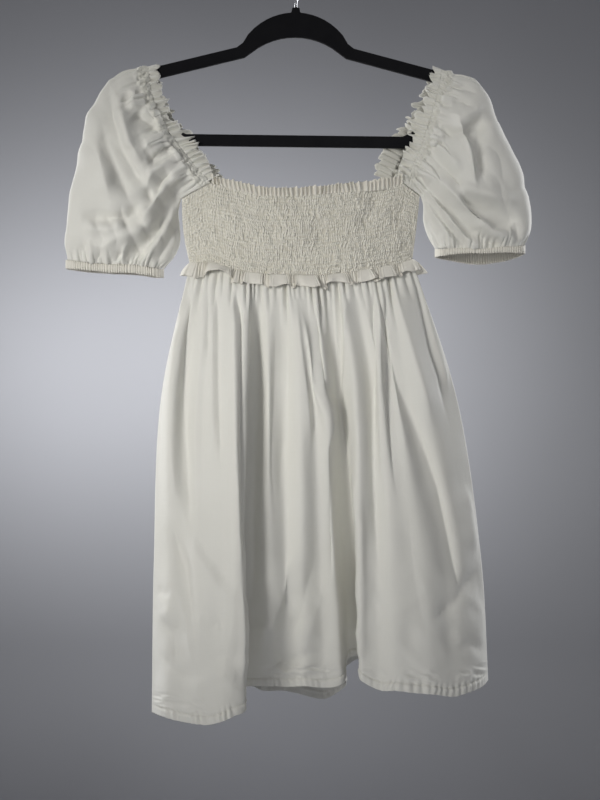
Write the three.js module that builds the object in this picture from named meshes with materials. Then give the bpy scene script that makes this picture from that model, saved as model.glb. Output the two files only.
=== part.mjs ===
import * as THREE from 'three';

// A short-sleeved peasant dress hanging on a slim coated hanger.
// Millimetres. +X runs to the viewer's right, -Y faces the viewer, +Z is up.
// The origin is the inside top of the hook, where a rail or a peg carries the hanger.
// "out" is how far a place lies from the hanger's own plane, towards the viewer on
// the front of the dress and away from the viewer on its back.

// ---- named sizes -------------------------------------------------------------

const SEAM = 0.3;            // gap between two pieces that are sewn together
const CLOTH = 1.6;           // wall of the sleeves and the skirt
const SHIRRED = 2.0;         // wall of the shirred bodice between its ridges
const FRILL_CLOTH = 1.3;     // wall of the frills
const CUFF_CLOTH = 1.8;      // wall of the cuff bands

const HALF_DEPTH = 14;       // half the depth of the hanging bodice at its middle
const SIDE_OUT = 1.35;       // where the two layers of the bodice meet at a side seam
const FLATNESS = 2.6;        // how flat the hanging bodice lies before it turns to the seam

const SHIRR_ROWS = 20;       // rows of elastic down the bodice
const SHIRR_COLUMNS = { front: 24, back: 18 };   // puckers that are raised across one row
const SHIRR_HIGH = 1.15;
const SHIRR_LOW = 0.45;

const MID_LEVEL = -540;      // height at which the folds' "mid" sizes are taken
const LOW_LEVEL = -735;      // height at which the folds' "low" sizes are taken
const HEM = 10;              // depth of the turned hem
const HEM_STEP = 0.5;        // extra thickness of the turned hem
const GATHER = 2.0;          // height of the gathers under the waist

const COLOURS = { cloth: 0xe9e7de, coated: 0x16161a, wire: 0x8d9094 };

// ---- small helpers -----------------------------------------------------------

const { lerp } = THREE.MathUtils;
const within = (q) => THREE.MathUtils.clamp(q, 0, 1);
const steps = (n, from = 0, to = 1) => Array.from({ length: n + 1 }, (_, i) => lerp(from, to, i / n));

// rows of sizes under named columns
const table = (names, rows) => {
  const keys = names.split(' ');
  return rows.map((row) => Object.fromEntries(keys.map((key, i) => [key, row[i]])));
};

// a smooth height drawn through the rows of a table, read at any station
function through(rows, from, to) {
  const at = rows.map((row) => row[from]);
  const value = rows.map((row) => row[to]);
  const last = at.length - 1;
  const slope = at.map((_, i) => {
    const a = Math.max(i - 1, 0);
    const b = Math.min(i + 1, last);
    return (value[b] - value[a]) / (at[b] - at[a]);
  });
  return (x) => {
    let i = 0;
    while (i < last - 1 && x > at[i + 1]) i += 1;
    const span = at[i + 1] - at[i];
    const q = within((x - at[i]) / span);
    const q2 = q * q;
    const q3 = q2 * q;
    return (2 * q3 - 3 * q2 + 1) * value[i] + (q3 - 2 * q2 + q) * span * slope[i]
      + (3 * q2 - 2 * q3) * value[i + 1] + (q3 - q2) * span * slope[i + 1];
  };
}

// a smooth line in space through the rows of a table, walked by its own length
function edge(rows, side = 1) {
  const curve = new THREE.CatmullRomCurve3(
    rows.map((row) => new THREE.Vector3(row.x, -side * row.out, row.z)));
  curve.arcLengthDivisions = 400;
  return (q) => curve.getPointAt(within(q));
}

// follows another piece's edge, which is straight between that piece's columns
const onChords = (columns, place) => (s) => {
  let i = 0;
  while (i < columns.length - 2 && s > columns[i + 1]) i += 1;
  const q = within((s - columns[i]) / (columns[i + 1] - columns[i]));
  return place(columns[i]).clone().lerp(place(columns[i + 1]), q);
};

// A closed wall of cloth round a face given as point(across, down). Its outer side
// can be raised by a relief, its inner side can have fewer rows, and its first and
// last columns can be one from a given row on, which makes a tube. A rim is cut
// square to the direction that is given for its row.
function wall({ columns, rows, point, sense, thick, relief = () => 0,
  innerRows = rows.map((_, j) => j), joined = Infinity, flatEnds = false,
  square = () => null }) {
  const lastColumn = columns.length - 1;
  const lastRow = rows.length - 1;
  const face = rows.map((v, j) => columns.map((u, i) => point(u, v, i, j)));
  const isJoined = (j) => j >= joined;

  const outward = (i, j) => {
    if (i === lastColumn && isJoined(j)) return outward(0, j);
    const before = i > 0 ? face[j][i - 1] : face[j][isJoined(j) ? lastColumn - 1 : 0];
    const after = i < lastColumn ? face[j][i + 1] : face[j][lastColumn];
    const upper = j === joined && i === 0 ? face[j][i] : face[Math.max(j - 1, 0)][i];
    const lower = face[Math.min(j + 1, lastRow)][i];
    const n = new THREE.Vector3().subVectors(after, before)
      .cross(new THREE.Vector3().subVectors(lower, upper)).multiplyScalar(sense);
    if (flatEnds && (i === 0 || i === lastColumn)) n.y = 0;
    const rim = square(i, j);
    if (rim) n.addScaledVector(rim, -n.dot(rim) / rim.lengthSq());
    return n.normalize();
  };

  const places = [];
  const grid = (list, offset) => list.map((j) => columns.map((_, i) => {
    if (i === lastColumn && isJoined(j)) return -1;
    places.push(face[j][i].clone().addScaledVector(outward(i, j), offset(i, j)));
    return places.length - 1;
  })).map((line) => (line[lastColumn] < 0 ? [...line.slice(0, lastColumn), line[0]] : line));
  const outerRows = rows.map((_, j) => j);
  const outer = grid(outerRows, (i, j) => thick / 2 + relief(i, j));
  const inner = grid(innerRows, () => -thick / 2);

  const triangles = [];
  const quad = (a, b, c, d) => triangles.push([a, b, c], [a, c, d]);
  for (let i = 0; i < lastColumn; i += 1) {
    for (let j = 0; j < outer.length - 1; j += 1) {
      quad(outer[j][i], outer[j][i + 1], outer[j + 1][i + 1], outer[j + 1][i]);
    }
    for (let j = 0; j < inner.length - 1; j += 1) {
      quad(inner[j][i], inner[j + 1][i], inner[j + 1][i + 1], inner[j][i + 1]);
    }
    quad(outer[0][i + 1], outer[0][i], inner[0][i], inner[0][i + 1]);
    quad(outer.at(-1)[i], outer.at(-1)[i + 1], inner.at(-1)[i + 1], inner.at(-1)[i]);
  }
  for (const [i, turned] of [[0, false], [lastColumn, true]]) {
    const open = (list) => list.filter((j) => j <= joined);
    const a = open(outerRows);
    const b = open(innerRows);
    let m = 0;
    let n = 0;
    const put = (...t) => triangles.push(turned ? t.reverse() : t);
    while (m < a.length - 1 || n < b.length - 1) {
      const stepOuter = n === b.length - 1 || (m < a.length - 1 && a[m + 1] <= b[n + 1]);
      if (stepOuter) {
        put(outer[m][i], outer[m + 1][i], inner[n][i]);
        m += 1;
      } else {
        put(outer[m][i], inner[n + 1][i], inner[n][i]);
        n += 1;
      }
    }
    if (joined === 0) break;
  }
  return closedBody(places, triangles);
}

// one closed body, with every face pointing out
function closedBody(places, triangles) {
  let volume = 0;
  for (const [a, b, c] of triangles) {
    volume += places[a].dot(new THREE.Vector3().crossVectors(places[b], places[c]));
  }
  const index = triangles.flatMap((t) => (volume < 0 ? [t[0], t[2], t[1]] : t));
  const geometry = new THREE.BufferGeometry();
  geometry.setAttribute('position', new THREE.Float32BufferAttribute(
    places.flatMap((p) => [p.x, p.y, p.z]), 3));
  geometry.setIndex(index);
  geometry.computeVertexNormals();
  return geometry;
}

const UP = new THREE.Vector3(0, 0, 1);
const dress = new THREE.Group();
const addPiece = (name, geometry, colour = COLOURS.cloth, roughness = 0.9, metalness = 0) => {
  const mesh = new THREE.Mesh(geometry, new THREE.MeshStandardMaterial({ color: colour, roughness, metalness }));
  mesh.name = name;
  dress.add(mesh);
  return mesh;
};

// ---- the bodice --------------------------------------------------------------

const WAIST = table('x z', [
  [-130, -374.5], [-104, -373], [-77, -382], [-43, -388.5], [-7, -390],
  [26, -391], [58, -387.5], [89, -382], [118, -376.5], [141, -369.5]]);
const smoothWaist = through(WAIST, 'x', 'z');
const WAIST_LEFT = WAIST[0].x;
const WAIST_RIGHT = WAIST.at(-1).x;

const UNDERARM = { left: { x: -139.5, z: -295.3 }, right: { x: 150, z: -291.7 } };
const SIDE_SWELL = { left: 3, right: 0.5 };   // how far each side edge bows out
const ARMHOLE = 0.09;                         // share of the top edge on each armhole

const NECKLINES = {
  front: table('x z', [[-104, -277.5], [-70.5, -286], [-40, -293.5], [4, -294.2], [69, -288.5], [101, -286], [129.5, -277.5]]),
  back: table('x z', [[-99, -276], [-60, -285], [-20, -290], [30, -290], [70, -285], [112, -275]]),
};

const armColumns = 2;
const shirrColumns = (n) => [
  ...steps(armColumns, 0, ARMHOLE).slice(0, -1),
  ...steps(n - 2 * armColumns, ARMHOLE, 1 - ARMHOLE),
  ...steps(armColumns, 1 - ARMHOLE, 1).slice(1)];

// the waist seam of each side, straight between the columns of its bodice
const waistLine = (which) => {
  const columns = shirrColumns(SHIRR_COLUMNS[which]);
  const at = onChords(columns, (s) => {
    const x = lerp(WAIST_LEFT, WAIST_RIGHT, s);
    return new THREE.Vector2(x, smoothWaist(x));
  });
  return (x) => at((x - WAIST_LEFT) / (WAIST_RIGHT - WAIST_LEFT)).y;
};
const WAIST_Z = { front: waistLine('front'), back: waistLine('back') };

const lens = (q) => HALF_DEPTH * (1 - Math.abs(2 * q - 1) ** FLATNESS);

// the top edge of the bodice: armhole, neckline, armhole
function bodiceTop(which) {
  const neck = NECKLINES[which];
  const neckZ = through(neck, 'x', 'z');
  const [leftCorner, rightCorner] = [neck[0], neck.at(-1)];
  return (s) => {
    if (s < ARMHOLE) {
      const q = s / ARMHOLE;
      return { x: lerp(UNDERARM.left.x, leftCorner.x, q), z: lerp(UNDERARM.left.z, leftCorner.z, q) };
    }
    if (s > 1 - ARMHOLE) {
      const q = (1 - s) / ARMHOLE;
      return { x: lerp(UNDERARM.right.x, rightCorner.x, q), z: lerp(UNDERARM.right.z, rightCorner.z, q) };
    }
    const x = lerp(leftCorner.x, rightCorner.x, (s - ARMHOLE) / (1 - 2 * ARMHOLE));
    return { x, z: neckZ(x) };
  };
}

function bodiceFace(which) {
  const side = which === 'front' ? 1 : -1;
  const top = bodiceTop(which);
  return (s, t) => {
    const upper = top(s);
    const lowerX = lerp(WAIST_LEFT, WAIST_RIGHT, s);
    const swell = Math.sin(Math.PI * t);
    const lean = s < 0.5 ? -SIDE_SWELL.left * (1 - 2 * s) ** 2 : SIDE_SWELL.right * (2 * s - 1) ** 2;
    const out = SIDE_OUT + lens(s) + 1.5 * swell * lens(s) / HALF_DEPTH;
    return new THREE.Vector3(
      lerp(upper.x, lowerX, t) + lean * swell,
      -side * out,
      lerp(upper.z, WAIST_Z[which](lowerX) + SEAM, t));
  };
}

for (const which of ['front', 'back']) {
  const face = bodiceFace(which);
  addPiece(`bodice_${which}`, wall({
    columns: shirrColumns(SHIRR_COLUMNS[which]),
    rows: steps(2 * SHIRR_ROWS),
    innerRows: steps(5, 0, 2 * SHIRR_ROWS),
    point: face,
    sense: which === 'front' ? -1 : 1,
    thick: SHIRRED,
    square: (i, j) => (j === 0 || j === 2 * SHIRR_ROWS ? UP : null),
    // each row of elastic is a groove, with taller and lower puckers by turns between
    relief: (i, j) => {
      if (j % 2 === 0) return 0;
      return (i + (j - 1) / 2) % 2 === 0 ? SHIRR_HIGH : SHIRR_LOW;
    },
  }));
}

// ---- the skirt ---------------------------------------------------------------

// one row for each ridge or valley, from the left side seam to the right one
const foldColumns = 'name seam midX midOut lowX lowOut hemX hemOut hemZ';
const FOLDS = {
  front: table(foldColumns, [
    ['left seam', -130, -165.3, 0, -173.8, 0, -176.3, 0, -920.9],
    ['left ridge 1', -121, -148.8, 22, -151.2, 30, -151, 40, -914.1],
    ['left valley 1', -112, -135.4, 14, -133.4, 30, -132, 50, -915.2],
    ['left ridge 2', -101, -120.1, 32, -117.4, 45, -115.7, 60, -914],
    ['left valley 2', -92, -110.3, 24, -107.2, 42, -102.6, 64, -913.7],
    ['left ridge 3', -82, -90.8, 42, -88.4, 56, -89.4, 70, -909.2],
    ['left valley 3', -71, -79.5, 36, -78.3, 52, -80.3, 70, -905.8],
    ['lobe shoulder', -65, -65.7, 48, -68.4, 60, -71.3, 68, -901.9],
    ['lobe edge', -59, -53.3, 40, -56.6, 54, -59.7, 60, -899],
    ['tuck behind lobe', -50, -52.3, 14, -63.2, 14, -68, 14, -887.1],
    ['middle ridge 1', -36, -32.6, 27, -31.5, 24, -34.2, 16, -884.1],
    ['middle valley 1', -20, -16.2, 12, -12.7, 10, -12.7, 4, -887.9],
    ['middle ridge 2', -8, 4.3, 31, 7.8, 26, 11.5, 16, -885.3],
    ['middle valley 2', 10, 21, 20, 27.2, 12, 33.4, 6, -888.5],
    ['middle ridge 3', 20, 36.2, 33, 45, 20, 55.1, 8, -884.2],
    ['deep fold left', 33, 49.2, 4, 58.7, -16, 65.8, -32, -862.9],
    ['deep fold right', 45, 57.8, 4, 80, -20, 89.8, -34, -862.2],
    ['right lobe edge', 56, 70.7, 31, 75.4, 40, 75.6, 46, -867.6],
    ['right valley 1', 66, 92.1, 15, 95.3, 34, 96.6, 46, -878.1],
    ['right ridge 1', 76, 102, 38, 111.4, 50, 116.2, 60, -875.9],
    ['right valley 2', 85, 112.3, 30, 130.3, 48, 136.9, 60, -878.2],
    ['right ridge 2', 97, 121, 37, 149.6, 52, 158.8, 60, -880.5],
    ['right valley 3', 109, 134.3, 24, 174.5, 34, 182, 46, -886.3],
    ['right ridge 3', 121, 154.7, 32, 192.9, 37, 199.1, 42, -885.2],
    ['right valley 4', 132, 177.7, 14, 210.7, 18, 217.9, 24, -883.9],
    ['right seam', 141, 195.8, 0, 225.1, 0, 233.6, 0, -881.9],
  ]),
  back: table(foldColumns, [
    ['left seam', -130, -165.3, 0, -173.8, 0, -176.3, 0, -920.9],
    ['ridge 1', -116, -150, 20, -156, 28, -160, 34, -918],
    ['valley 1', -100, -132, 12, -134, 18, -136, 24, -912],
    ['ridge 2', -84, -112, 30, -113, 44, -112, 54, -910],
    ['valley 2', -67, -88, 16, -88, 26, -86, 34, -906],
    ['ridge 3', -50, -64, 34, -64, 50, -62, 58, -907],
    ['valley 3', -33, -42, 20, -42, 34, -43, 42, -908.5],
    ['ridge 4', -16, -20, 36, -18, 56, -16, 68, -917],
    ['valley 4', 2, 2, 24, 4, 44, 6, 60, -919.5],
    ['low lobe', 20, 24, 40, 30, 64, 37, 80, -931],
    ['low lobe edge', 36, 44, 26, 52, 56, 61, 75, -915],
    ['tuck', 50, 60, 16, 62, 32, 60, 44, -882],
    ['ridge 5', 64, 80, 38, 84, 56, 88, 66, -873],
    ['valley 5', 82, 102, 22, 110, 34, 114, 42, -870],
    ['ridge 6', 100, 126, 36, 140, 50, 146, 58, -868],
    ['valley 6', 118, 152, 18, 172, 28, 180, 36, -870],
    ['ridge 7', 131, 176, 16, 200, 22, 208, 28, -876],
    ['right seam', 141, 195.8, 0, 225.1, 0, 233.6, 0, -881.9],
  ]),
};

// where each fold lies at any share of the way from the waist to the hem
function skirtFace(which) {
  const side = which === 'front' ? 1 : -1;
  const folds = FOLDS[which].map((fold) => {
    const q = (fold.seam - WAIST_LEFT) / (WAIST_RIGHT - WAIST_LEFT);
    const top = WAIST_Z[which](fold.seam) - SEAM / 2;
    const share = (z) => (z - top) / (fold.hemZ - top);
    const levels = table('f x out', [
      [0, fold.seam, lens(q)],
      [share(MID_LEVEL), fold.midX, fold.midOut],
      [share(LOW_LEVEL), fold.lowX, fold.lowOut],
      [1, fold.hemX, fold.hemOut]]);
    return { x: through(levels, 'f', 'x'), out: through(levels, 'f', 'out'), top, hem: fold.hemZ };
  });
  return (u, f) => {
    const curve = new THREE.CatmullRomCurve3(folds.map((fold) => new THREE.Vector3(
      fold.x(f), -side * (SEAM / 2 + fold.out(f)), lerp(fold.top, fold.hem, f))));
    return curve.getPoint(u);
  };
}

// a gather is strongest a little below the seam and runs out down the skirt
function gatherHeight(f, i) {
  const q = f / (0.3 + 0.12 * Math.sin(i * 2.3));
  if (q >= 1) return 0;
  return GATHER * (q < 0.1 ? lerp(0.45, 1, q / 0.1) : (1 - (q - 0.1) / 0.9) ** 1.5);
}

const skirtRows = {
  front: [0, 0.015, 0.035, 0.065, 0.11, 0.17, 0.24, 0.33, 0.43, 0.53, 0.63, 0.73, 0.83, 0.92],
  back: [0, 0.02, 0.05, 0.1, 0.18, 0.28, 0.4, 0.52, 0.64, 0.76, 0.88],
};
const HEM_LENGTH = HEM / 530;

for (const which of ['front', 'back']) {
  const side = which === 'front' ? 1 : -1;
  const face = skirtFace(which);
  const columns = steps(2 * (FOLDS[which].length - 1));
  const rows = [...skirtRows[which], 1 - HEM_LENGTH - 0.004, 1 - HEM_LENGTH, 1];
  addPiece(`skirt_${which}`, wall({
    columns,
    rows,
    point: (u, f, i) => {
      const p = face(u, f);
      const high = gatherHeight(f, i);
      const room = Math.max(0, -side * p.y - 1.4) * 0.5;
      if (i > 0 && i < columns.length - 1) p.y -= side * (i % 2 ? -Math.min(0.6 * high, room) : 1.4 * high);
      return p;
    },
    sense: -side,
    thick: CLOTH,
    relief: (i, j) => (j >= rows.length - 2 ? HEM_STEP : 0),
    square: (i, j) => (j === 0 ? UP : null),
    flatEnds: true,
  }));
}

// ---- the frill over the waist seam -------------------------------------------

const WAIST_FRILL = {
  height: 14, clear: 3.1, spread: 1.9, swing: 3.2,
  front: { waves: 14, perWave: 4 },
  back: { waves: 11, perWave: 4 },
};

for (const which of ['front', 'back']) {
  const side = which === 'front' ? 1 : -1;
  const face = skirtFace(which);
  const { waves, perWave } = WAIST_FRILL[which];
  addPiece(`waist_frill_${which}`, wall({
    columns: steps(waves * perWave, 0, 1),
    rows: [0, 0.45, 1],
    point: (u, t, i) => {
      const turn = 2 * Math.PI * waves * u + 1.1 * Math.sin(5.3 * u + 0.7) + 0.5 * Math.sin(17 * u);
      const tall = WAIST_FRILL.height * (1 + 0.16 * Math.sin(9 * u + 1) + 0.08 * Math.cos(turn));
      const f = (t * tall) / 530;
      const p = face(u, f);
      const a = face(Math.max(u - 0.004, 0), f);
      const b = face(Math.min(u + 0.004, 1), f);
      const n = new THREE.Vector3((b.y - a.y), -(b.x - a.x), 0).multiplyScalar(side).normalize();
      if (u === 0) n.set(-1, 0, 0);
      if (u === 1) n.set(1, 0, 0);
      const wave = WAIST_FRILL.swing * (1 + Math.sin(turn)) * t;
      p.z -= 1.5 * SEAM;
      return p.addScaledVector(n, WAIST_FRILL.clear + WAIST_FRILL.spread * t + wave);
    },
    sense: -side,
    thick: FRILL_CLOTH,
    flatEnds: true,
  }));
}

// ---- the frill over the neckline ---------------------------------------------

const NECK_FRILL = { height: 10, lean: 2.5, swing: 1.3, inset: 0.012, front: 24, back: 16 };

for (const which of ['front', 'back']) {
  const side = which === 'front' ? 1 : -1;
  const face = bodiceFace(which);
  const base = onChords(shirrColumns(SHIRR_COLUMNS[which]), (s) => face(s, 0));
  const pleats = NECK_FRILL[which];
  const from = ARMHOLE + NECK_FRILL.inset;
  addPiece(`neck_frill_${which}`, wall({
    columns: steps(2 * pleats, from, 1 - from),
    rows: [1, 0],
    point: (s, t, i) => {
      const p = base(s);
      p.z += SEAM + t * NECK_FRILL.height * (1 + 0.07 * Math.sin(i * 1.9));
      p.y -= side * (t * NECK_FRILL.lean + (i % 2 ? -1 : 1) * NECK_FRILL.swing * (0.25 + 0.75 * t));
      return p;
    },
    sense: -side,
    thick: FRILL_CLOTH,
    square: () => UP,
  }));
}

// ---- the sleeves -------------------------------------------------------------

// Each half of a sleeve, front and back, is stretched between four edges: its neck
// edge, its cuff, the ridge over the shoulder, and the inner edge that is sewn to the
// bodice as far as the underarm and to the other half below it.
const SLEEVES = {
  left: {
    turn: -1,
    ridge: table('x out z', [[-179, 0, -134.6], [-205.6, 0, -138.9], [-217.8, 0, -144.3], [-227.5, 0, -151.4],
      [-242.4, 0, -172.9], [-254, 0, -192.3], [-261.8, 0, -223.5], [-271.4, 0, -266.4],
      [-277.6, 0, -303.3], [-281.2, 0, -332.5], [-283.2, 0, -357], [-281.2, 0, -368.8]]),
    neckFront: table('x out z', [[-179, 0, -134.6], [-178.8, 4.4, -134.9], [-178.2, 5.6, -150], [-176.3, 6.6, -165],
      [-169, 8, -187], [-159, 9, -207.5], [-144, 10, -229], [-129, 10.5, -247], [-116, 10.5, -264], [-104.3, 10, -277]]),
    neckBack: table('x out z', [[-179, 0, -134.6], [-178.8, 4.4, -134.9], [-178, 6, -150], [-175, 8, -166],
      [-166, 10, -190], [-155, 11, -211], [-140, 11, -232], [-125, 10.5, -249], [-111, 10, -264], [-99.3, 9.5, -275.5]]),
    underarm: table('x out z', [[-141.1, 0, -295.2], [-144, 0, -311], [-142.2, 0, -333],
      [-142, 0, -347], [-147, 0, -362], [-162, 0, -380.5]]),
    cuffFront: table('x out z', [[-281.2, 0, -368.8], [-279, 5, -370], [-232, 8, -375.5], [-198, 8, -376.5],
      [-169, 5.5, -380.5], [-162, 0, -380.5]]),
    cuffBack: table('x out z', [[-281.2, 0, -368.8], [-279, 5, -370], [-232, 8, -374], [-198, 8, -375.5],
      [-169, 5.5, -380], [-162, 0, -380.5]]),
    puff: { front: 24, back: 22 },
    folds: table('x0 z0 x1 z1 width deep', [
      [-131, -272, -164, -297, 11, -5], [-164, -297, -176, -336, 13, -8], [-176, -336, -212, -372, 13, -5],
      [-232, -162, -222, -204, 12, -4], [-222, -204, -190, -248, 11, -4],
      [-271, -309, -196, -311, 9, -3], [-246, -356, -184, -325, 12, 5]]),
  },
  right: {
    turn: 1,
    ridge: table('x out z', [[176.3, 0, -138.4], [187.3, 0, -141.2], [206.7, 0, -145.9], [219.4, 0, -152.6],
      [231.9, 0, -173], [241.7, 0, -194.3], [255.2, 0, -219.4], [266.9, 0, -244.9],
      [276.7, 0, -270.1], [282.4, 0, -295.5], [286.5, 0, -318.9], [282.4, 0, -338.3], [278.8, 0, -351.2]]),
    neckFront: table('x out z', [[176.3, 0, -138.4], [176, 4.4, -138.7], [174, 5.6, -151], [171, 6.6, -165],
      [166.5, 8, -183], [161.5, 9, -201], [154.5, 10, -223], [147, 10.5, -243], [138, 10.5, -262], [129.8, 10, -277]]),
    neckBack: table('x out z', [[176.3, 0, -138.4], [176, 4.4, -138.7], [173.5, 6, -153], [168, 8, -175],
      [157, 10, -196], [144.5, 11, -214], [132.5, 11, -235], [120.5, 10.5, -257], [112.3, 10, -274.4]]),
    underarm: table('x out z', [[151.6, 0, -291.6], [154.8, 0, -303], [155, 0, -323], [161, 0, -342], [169, 0, -355.5]]),
    cuffFront: table('x out z', [[278.8, 0, -351.2], [272, 12, -354.5], [246.5, 18, -356.5], [221.5, 19, -359],
      [204.5, 18, -358], [175, 11, -357.5], [169, 0, -355.5]]),
    cuffBack: table('x out z', [[278.8, 0, -351.2], [274, 12, -352.5], [250, 18, -356], [221.5, 19, -357.5],
      [204.5, 18, -356], [176, 11, -354], [169, 0, -355.5]]),
    puff: { front: 24, back: 22 },
    folds: table('x0 z0 x1 z1 width deep', [
      [152, -266, 199, -311, 10, -5], [199, -311, 250, -352, 11, -5],
      [166, -285, 224, -355, 10, -6], [202, -289, 276, -316, 13, -6],
      [209, -207, 220, -266, 13, 4], [228, -188, 240, -210, 11, -4]]),
  },
};

const ARMHOLE_ROW = 4;
const sleeveRows = [0, 0.07, 0.13, 0.19, 0.28, 0.38, 0.48, 0.58, 0.68, 0.78, 0.87, 0.94, 1];
const halfColumns = [0, 0.02, ...steps(14, 0.02, 1).slice(1)];
const sleeveColumns = [...halfColumns.map((b) => -b).reverse(), ...halfColumns.slice(1)];
const ARMHOLE_GAP = 0.45;

// a soft trough or ridge along a straight stretch, seen from the front
function foldHeight(folds, x, z) {
  let sum = 0;
  for (const fold of folds) {
    const along = new THREE.Vector2(fold.x1 - fold.x0, fold.z1 - fold.z0);
    const from = new THREE.Vector2(x - fold.x0, z - fold.z0);
    const q = within(from.dot(along) / along.lengthSq());
    const away = from.sub(along.multiplyScalar(q)).length() / fold.width;
    sum += fold.deep * Math.exp(-away * away);
  }
  return sum;
}

function sleeveHalf(sleeve, which) {
  const side = which === 'front' ? 1 : -1;
  const neck = edge(sleeve[which === 'front' ? 'neckFront' : 'neckBack'], side);
  const cuff = edge(sleeve[which === 'front' ? 'cuffFront' : 'cuffBack'], side);
  const ridge = edge(sleeve.ridge);
  const underarm = edge(sleeve.underarm);
  const corner = neck(1);
  const under = underarm(0);
  const away = new THREE.Vector3(corner.z - under.z, 0, under.x - corner.x).normalize();
  away.multiplyScalar(away.z < 0 ? -ARMHOLE_GAP : ARMHOLE_GAP);
  const turnRow = sleeveRows[ARMHOLE_ROW];
  const inner = (k) => {
    if (k >= turnRow) return underarm((k - turnRow) / (1 - turnRow));
    const q = k / turnRow;
    const s = ARMHOLE * (1 - q);
    const p = corner.clone().lerp(under, q);
    p.y = -side * (SIDE_OUT + lens(s) * (1 - 0.35 * q));
    return p.add(away);
  };
  return (k, b) => {
    const p = new THREE.Vector3();
    p.addScaledVector(neck(b), 1 - k).addScaledVector(cuff(b), k);
    p.addScaledVector(ridge(k), 1 - b).addScaledVector(inner(k), b);
    p.addScaledVector(neck(0), -(1 - b) * (1 - k)).addScaledVector(cuff(0), -(1 - b) * k);
    p.addScaledVector(neck(1), -b * (1 - k)).addScaledVector(cuff(1), -b * k);
    const round = Math.sin(Math.PI * within(b)) ** 0.65;
    const full = Math.sin(Math.PI * within(k) ** 0.8) ** 0.8;
    const fold = foldHeight(sleeve.folds, p.x, p.z) * round * Math.sin(Math.PI * within(k)) ** 0.3;
    p.y -= side * (sleeve.puff[which] * round * full + fold);
    return p;
  };
}

const SLEEVE_GATHER = { neck: 1.1, cuff: 1.0 };

for (const [name, sleeve] of Object.entries(SLEEVES)) {
  const halves = { front: sleeveHalf(sleeve, 'front'), back: sleeveHalf(sleeve, 'back') };
  sleeve.point = (a, k) => halves[a < 0 ? 'front' : 'back'](k, Math.abs(a));
  // from the sleeve past its neck edge, into the neck opening
  sleeve.inward = (a) => {
    const d = sleeve.point(a, 0).sub(sleeve.point(a, 0.05));
    d.y *= 0.3;
    if (Math.abs(a) < 0.03) d.z += 0.12 * d.length();
    return d.normalize();
  };
  addPiece(`sleeve_${name}`, wall({
    columns: sleeveColumns,
    rows: sleeveRows,
    joined: ARMHOLE_ROW,
    point: (a, k, i) => {
      const p = sleeve.point(a, k);
      const b = Math.abs(a);
      if (b > 0.05 && b < 0.97) {
        const g = SLEEVE_GATHER.neck * (1 - k / 0.4) * (k < 0.4) + SLEEVE_GATHER.cuff * ((k - 0.75) / 0.25) * (k > 0.75);
        p.y += Math.sign(a) * (i % 2 ? 1 : -1) * g * (k === 0 || k === 1 ? 0.6 : 1);
      }
      return p;
    },
    sense: sleeve.turn,
    thick: CLOTH,
    square: (i, j) => (j === 0 ? sleeve.inward(sleeveColumns[i]) : j === sleeveRows.length - 1 ? UP : null),
  }));
}

// the heading past the elastic of each sleeve's neck edge
const SLEEVE_FRILL = { height: 9, swing: 1.5, reach: 0.93, waves: 14 };

for (const [name, sleeve] of Object.entries(SLEEVES)) {
  const n = 2 * SLEEVE_FRILL.waves;
  const neckEdge = onChords(sleeveColumns, (a) => sleeve.point(a, 0));
  const half = [0, 0.02, ...steps(n - 2, 0.02, SLEEVE_FRILL.reach).slice(1)];
  const columns = [...half.map((b) => -b).reverse(), ...half.slice(1)];
  addPiece(`sleeve_frill_${name}`, wall({
    columns,
    rows: [1, 0],
    point: (a, t, i) => {
      const p = neckEdge(a);
      const b = Math.abs(a);
      const wave = b > 0.03 ? SLEEVE_FRILL.swing * (1 + (i % 2 ? 1 : -1)) * (0.15 + 0.85 * t) * Math.min(1, b * 8) : 0;
      p.addScaledVector(sleeve.inward(a), SEAM + 0.05 + t * SLEEVE_FRILL.height * (1 + 0.08 * Math.sin(i * 2.1)));
      p.y += Math.sign(a) * wave;
      return p;
    },
    sense: sleeve.turn,
    thick: FRILL_CLOTH,
    square: (i) => sleeve.inward(columns[i]),
  }));
}

// the elastic cuff bands
const CUFF = { height: 10, waves: 14, swing: 0.9 };

for (const [name, sleeve] of Object.entries(SLEEVES)) {
  const cuffEdge = onChords(sleeveColumns, (a) => sleeve.point(a, 1));
  addPiece(`cuff_${name}`, wall({
    columns: steps(2 * CUFF.waves, -1, 1),
    rows: [0, 0.5, 1],
    joined: 0,
    point: (a, t, i) => {
      const p = cuffEdge(a);
      p.z -= SEAM + 0.1 + t * CUFF.height;
      const b = Math.abs(a);
      if (b < 0.98) p.y += Math.sign(a || 1) * (i % 2 ? 1 : -1) * CUFF.swing * (0.5 + 0.5 * Math.abs(2 * t - 1)) * Math.min(1, 6 * b * (1 - b));
      return p;
    },
    sense: sleeve.turn,
    thick: CUFF_CLOTH,
    square: () => UP,
  }));
}

// ---- the hanger --------------------------------------------------------------

const HANGER = {
  tilt: THREE.MathUtils.degToRad(0.7),   // it hangs a little lower on the right
  thick: 5.5,
  archTop: -68, archRadius: 75, archReach: 58,
  innerRadius: 84, band: 30,
  slope: 0.255, armTop: -111.2, armFrom: 71.4, armDeep: 14.6,
  tip: 222, tipRadius: 9,
  barTop: -217.7, barLow: -231.8, barEnd: 138,
  nubWidth: 11, nubHeight: 6,
};

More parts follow.
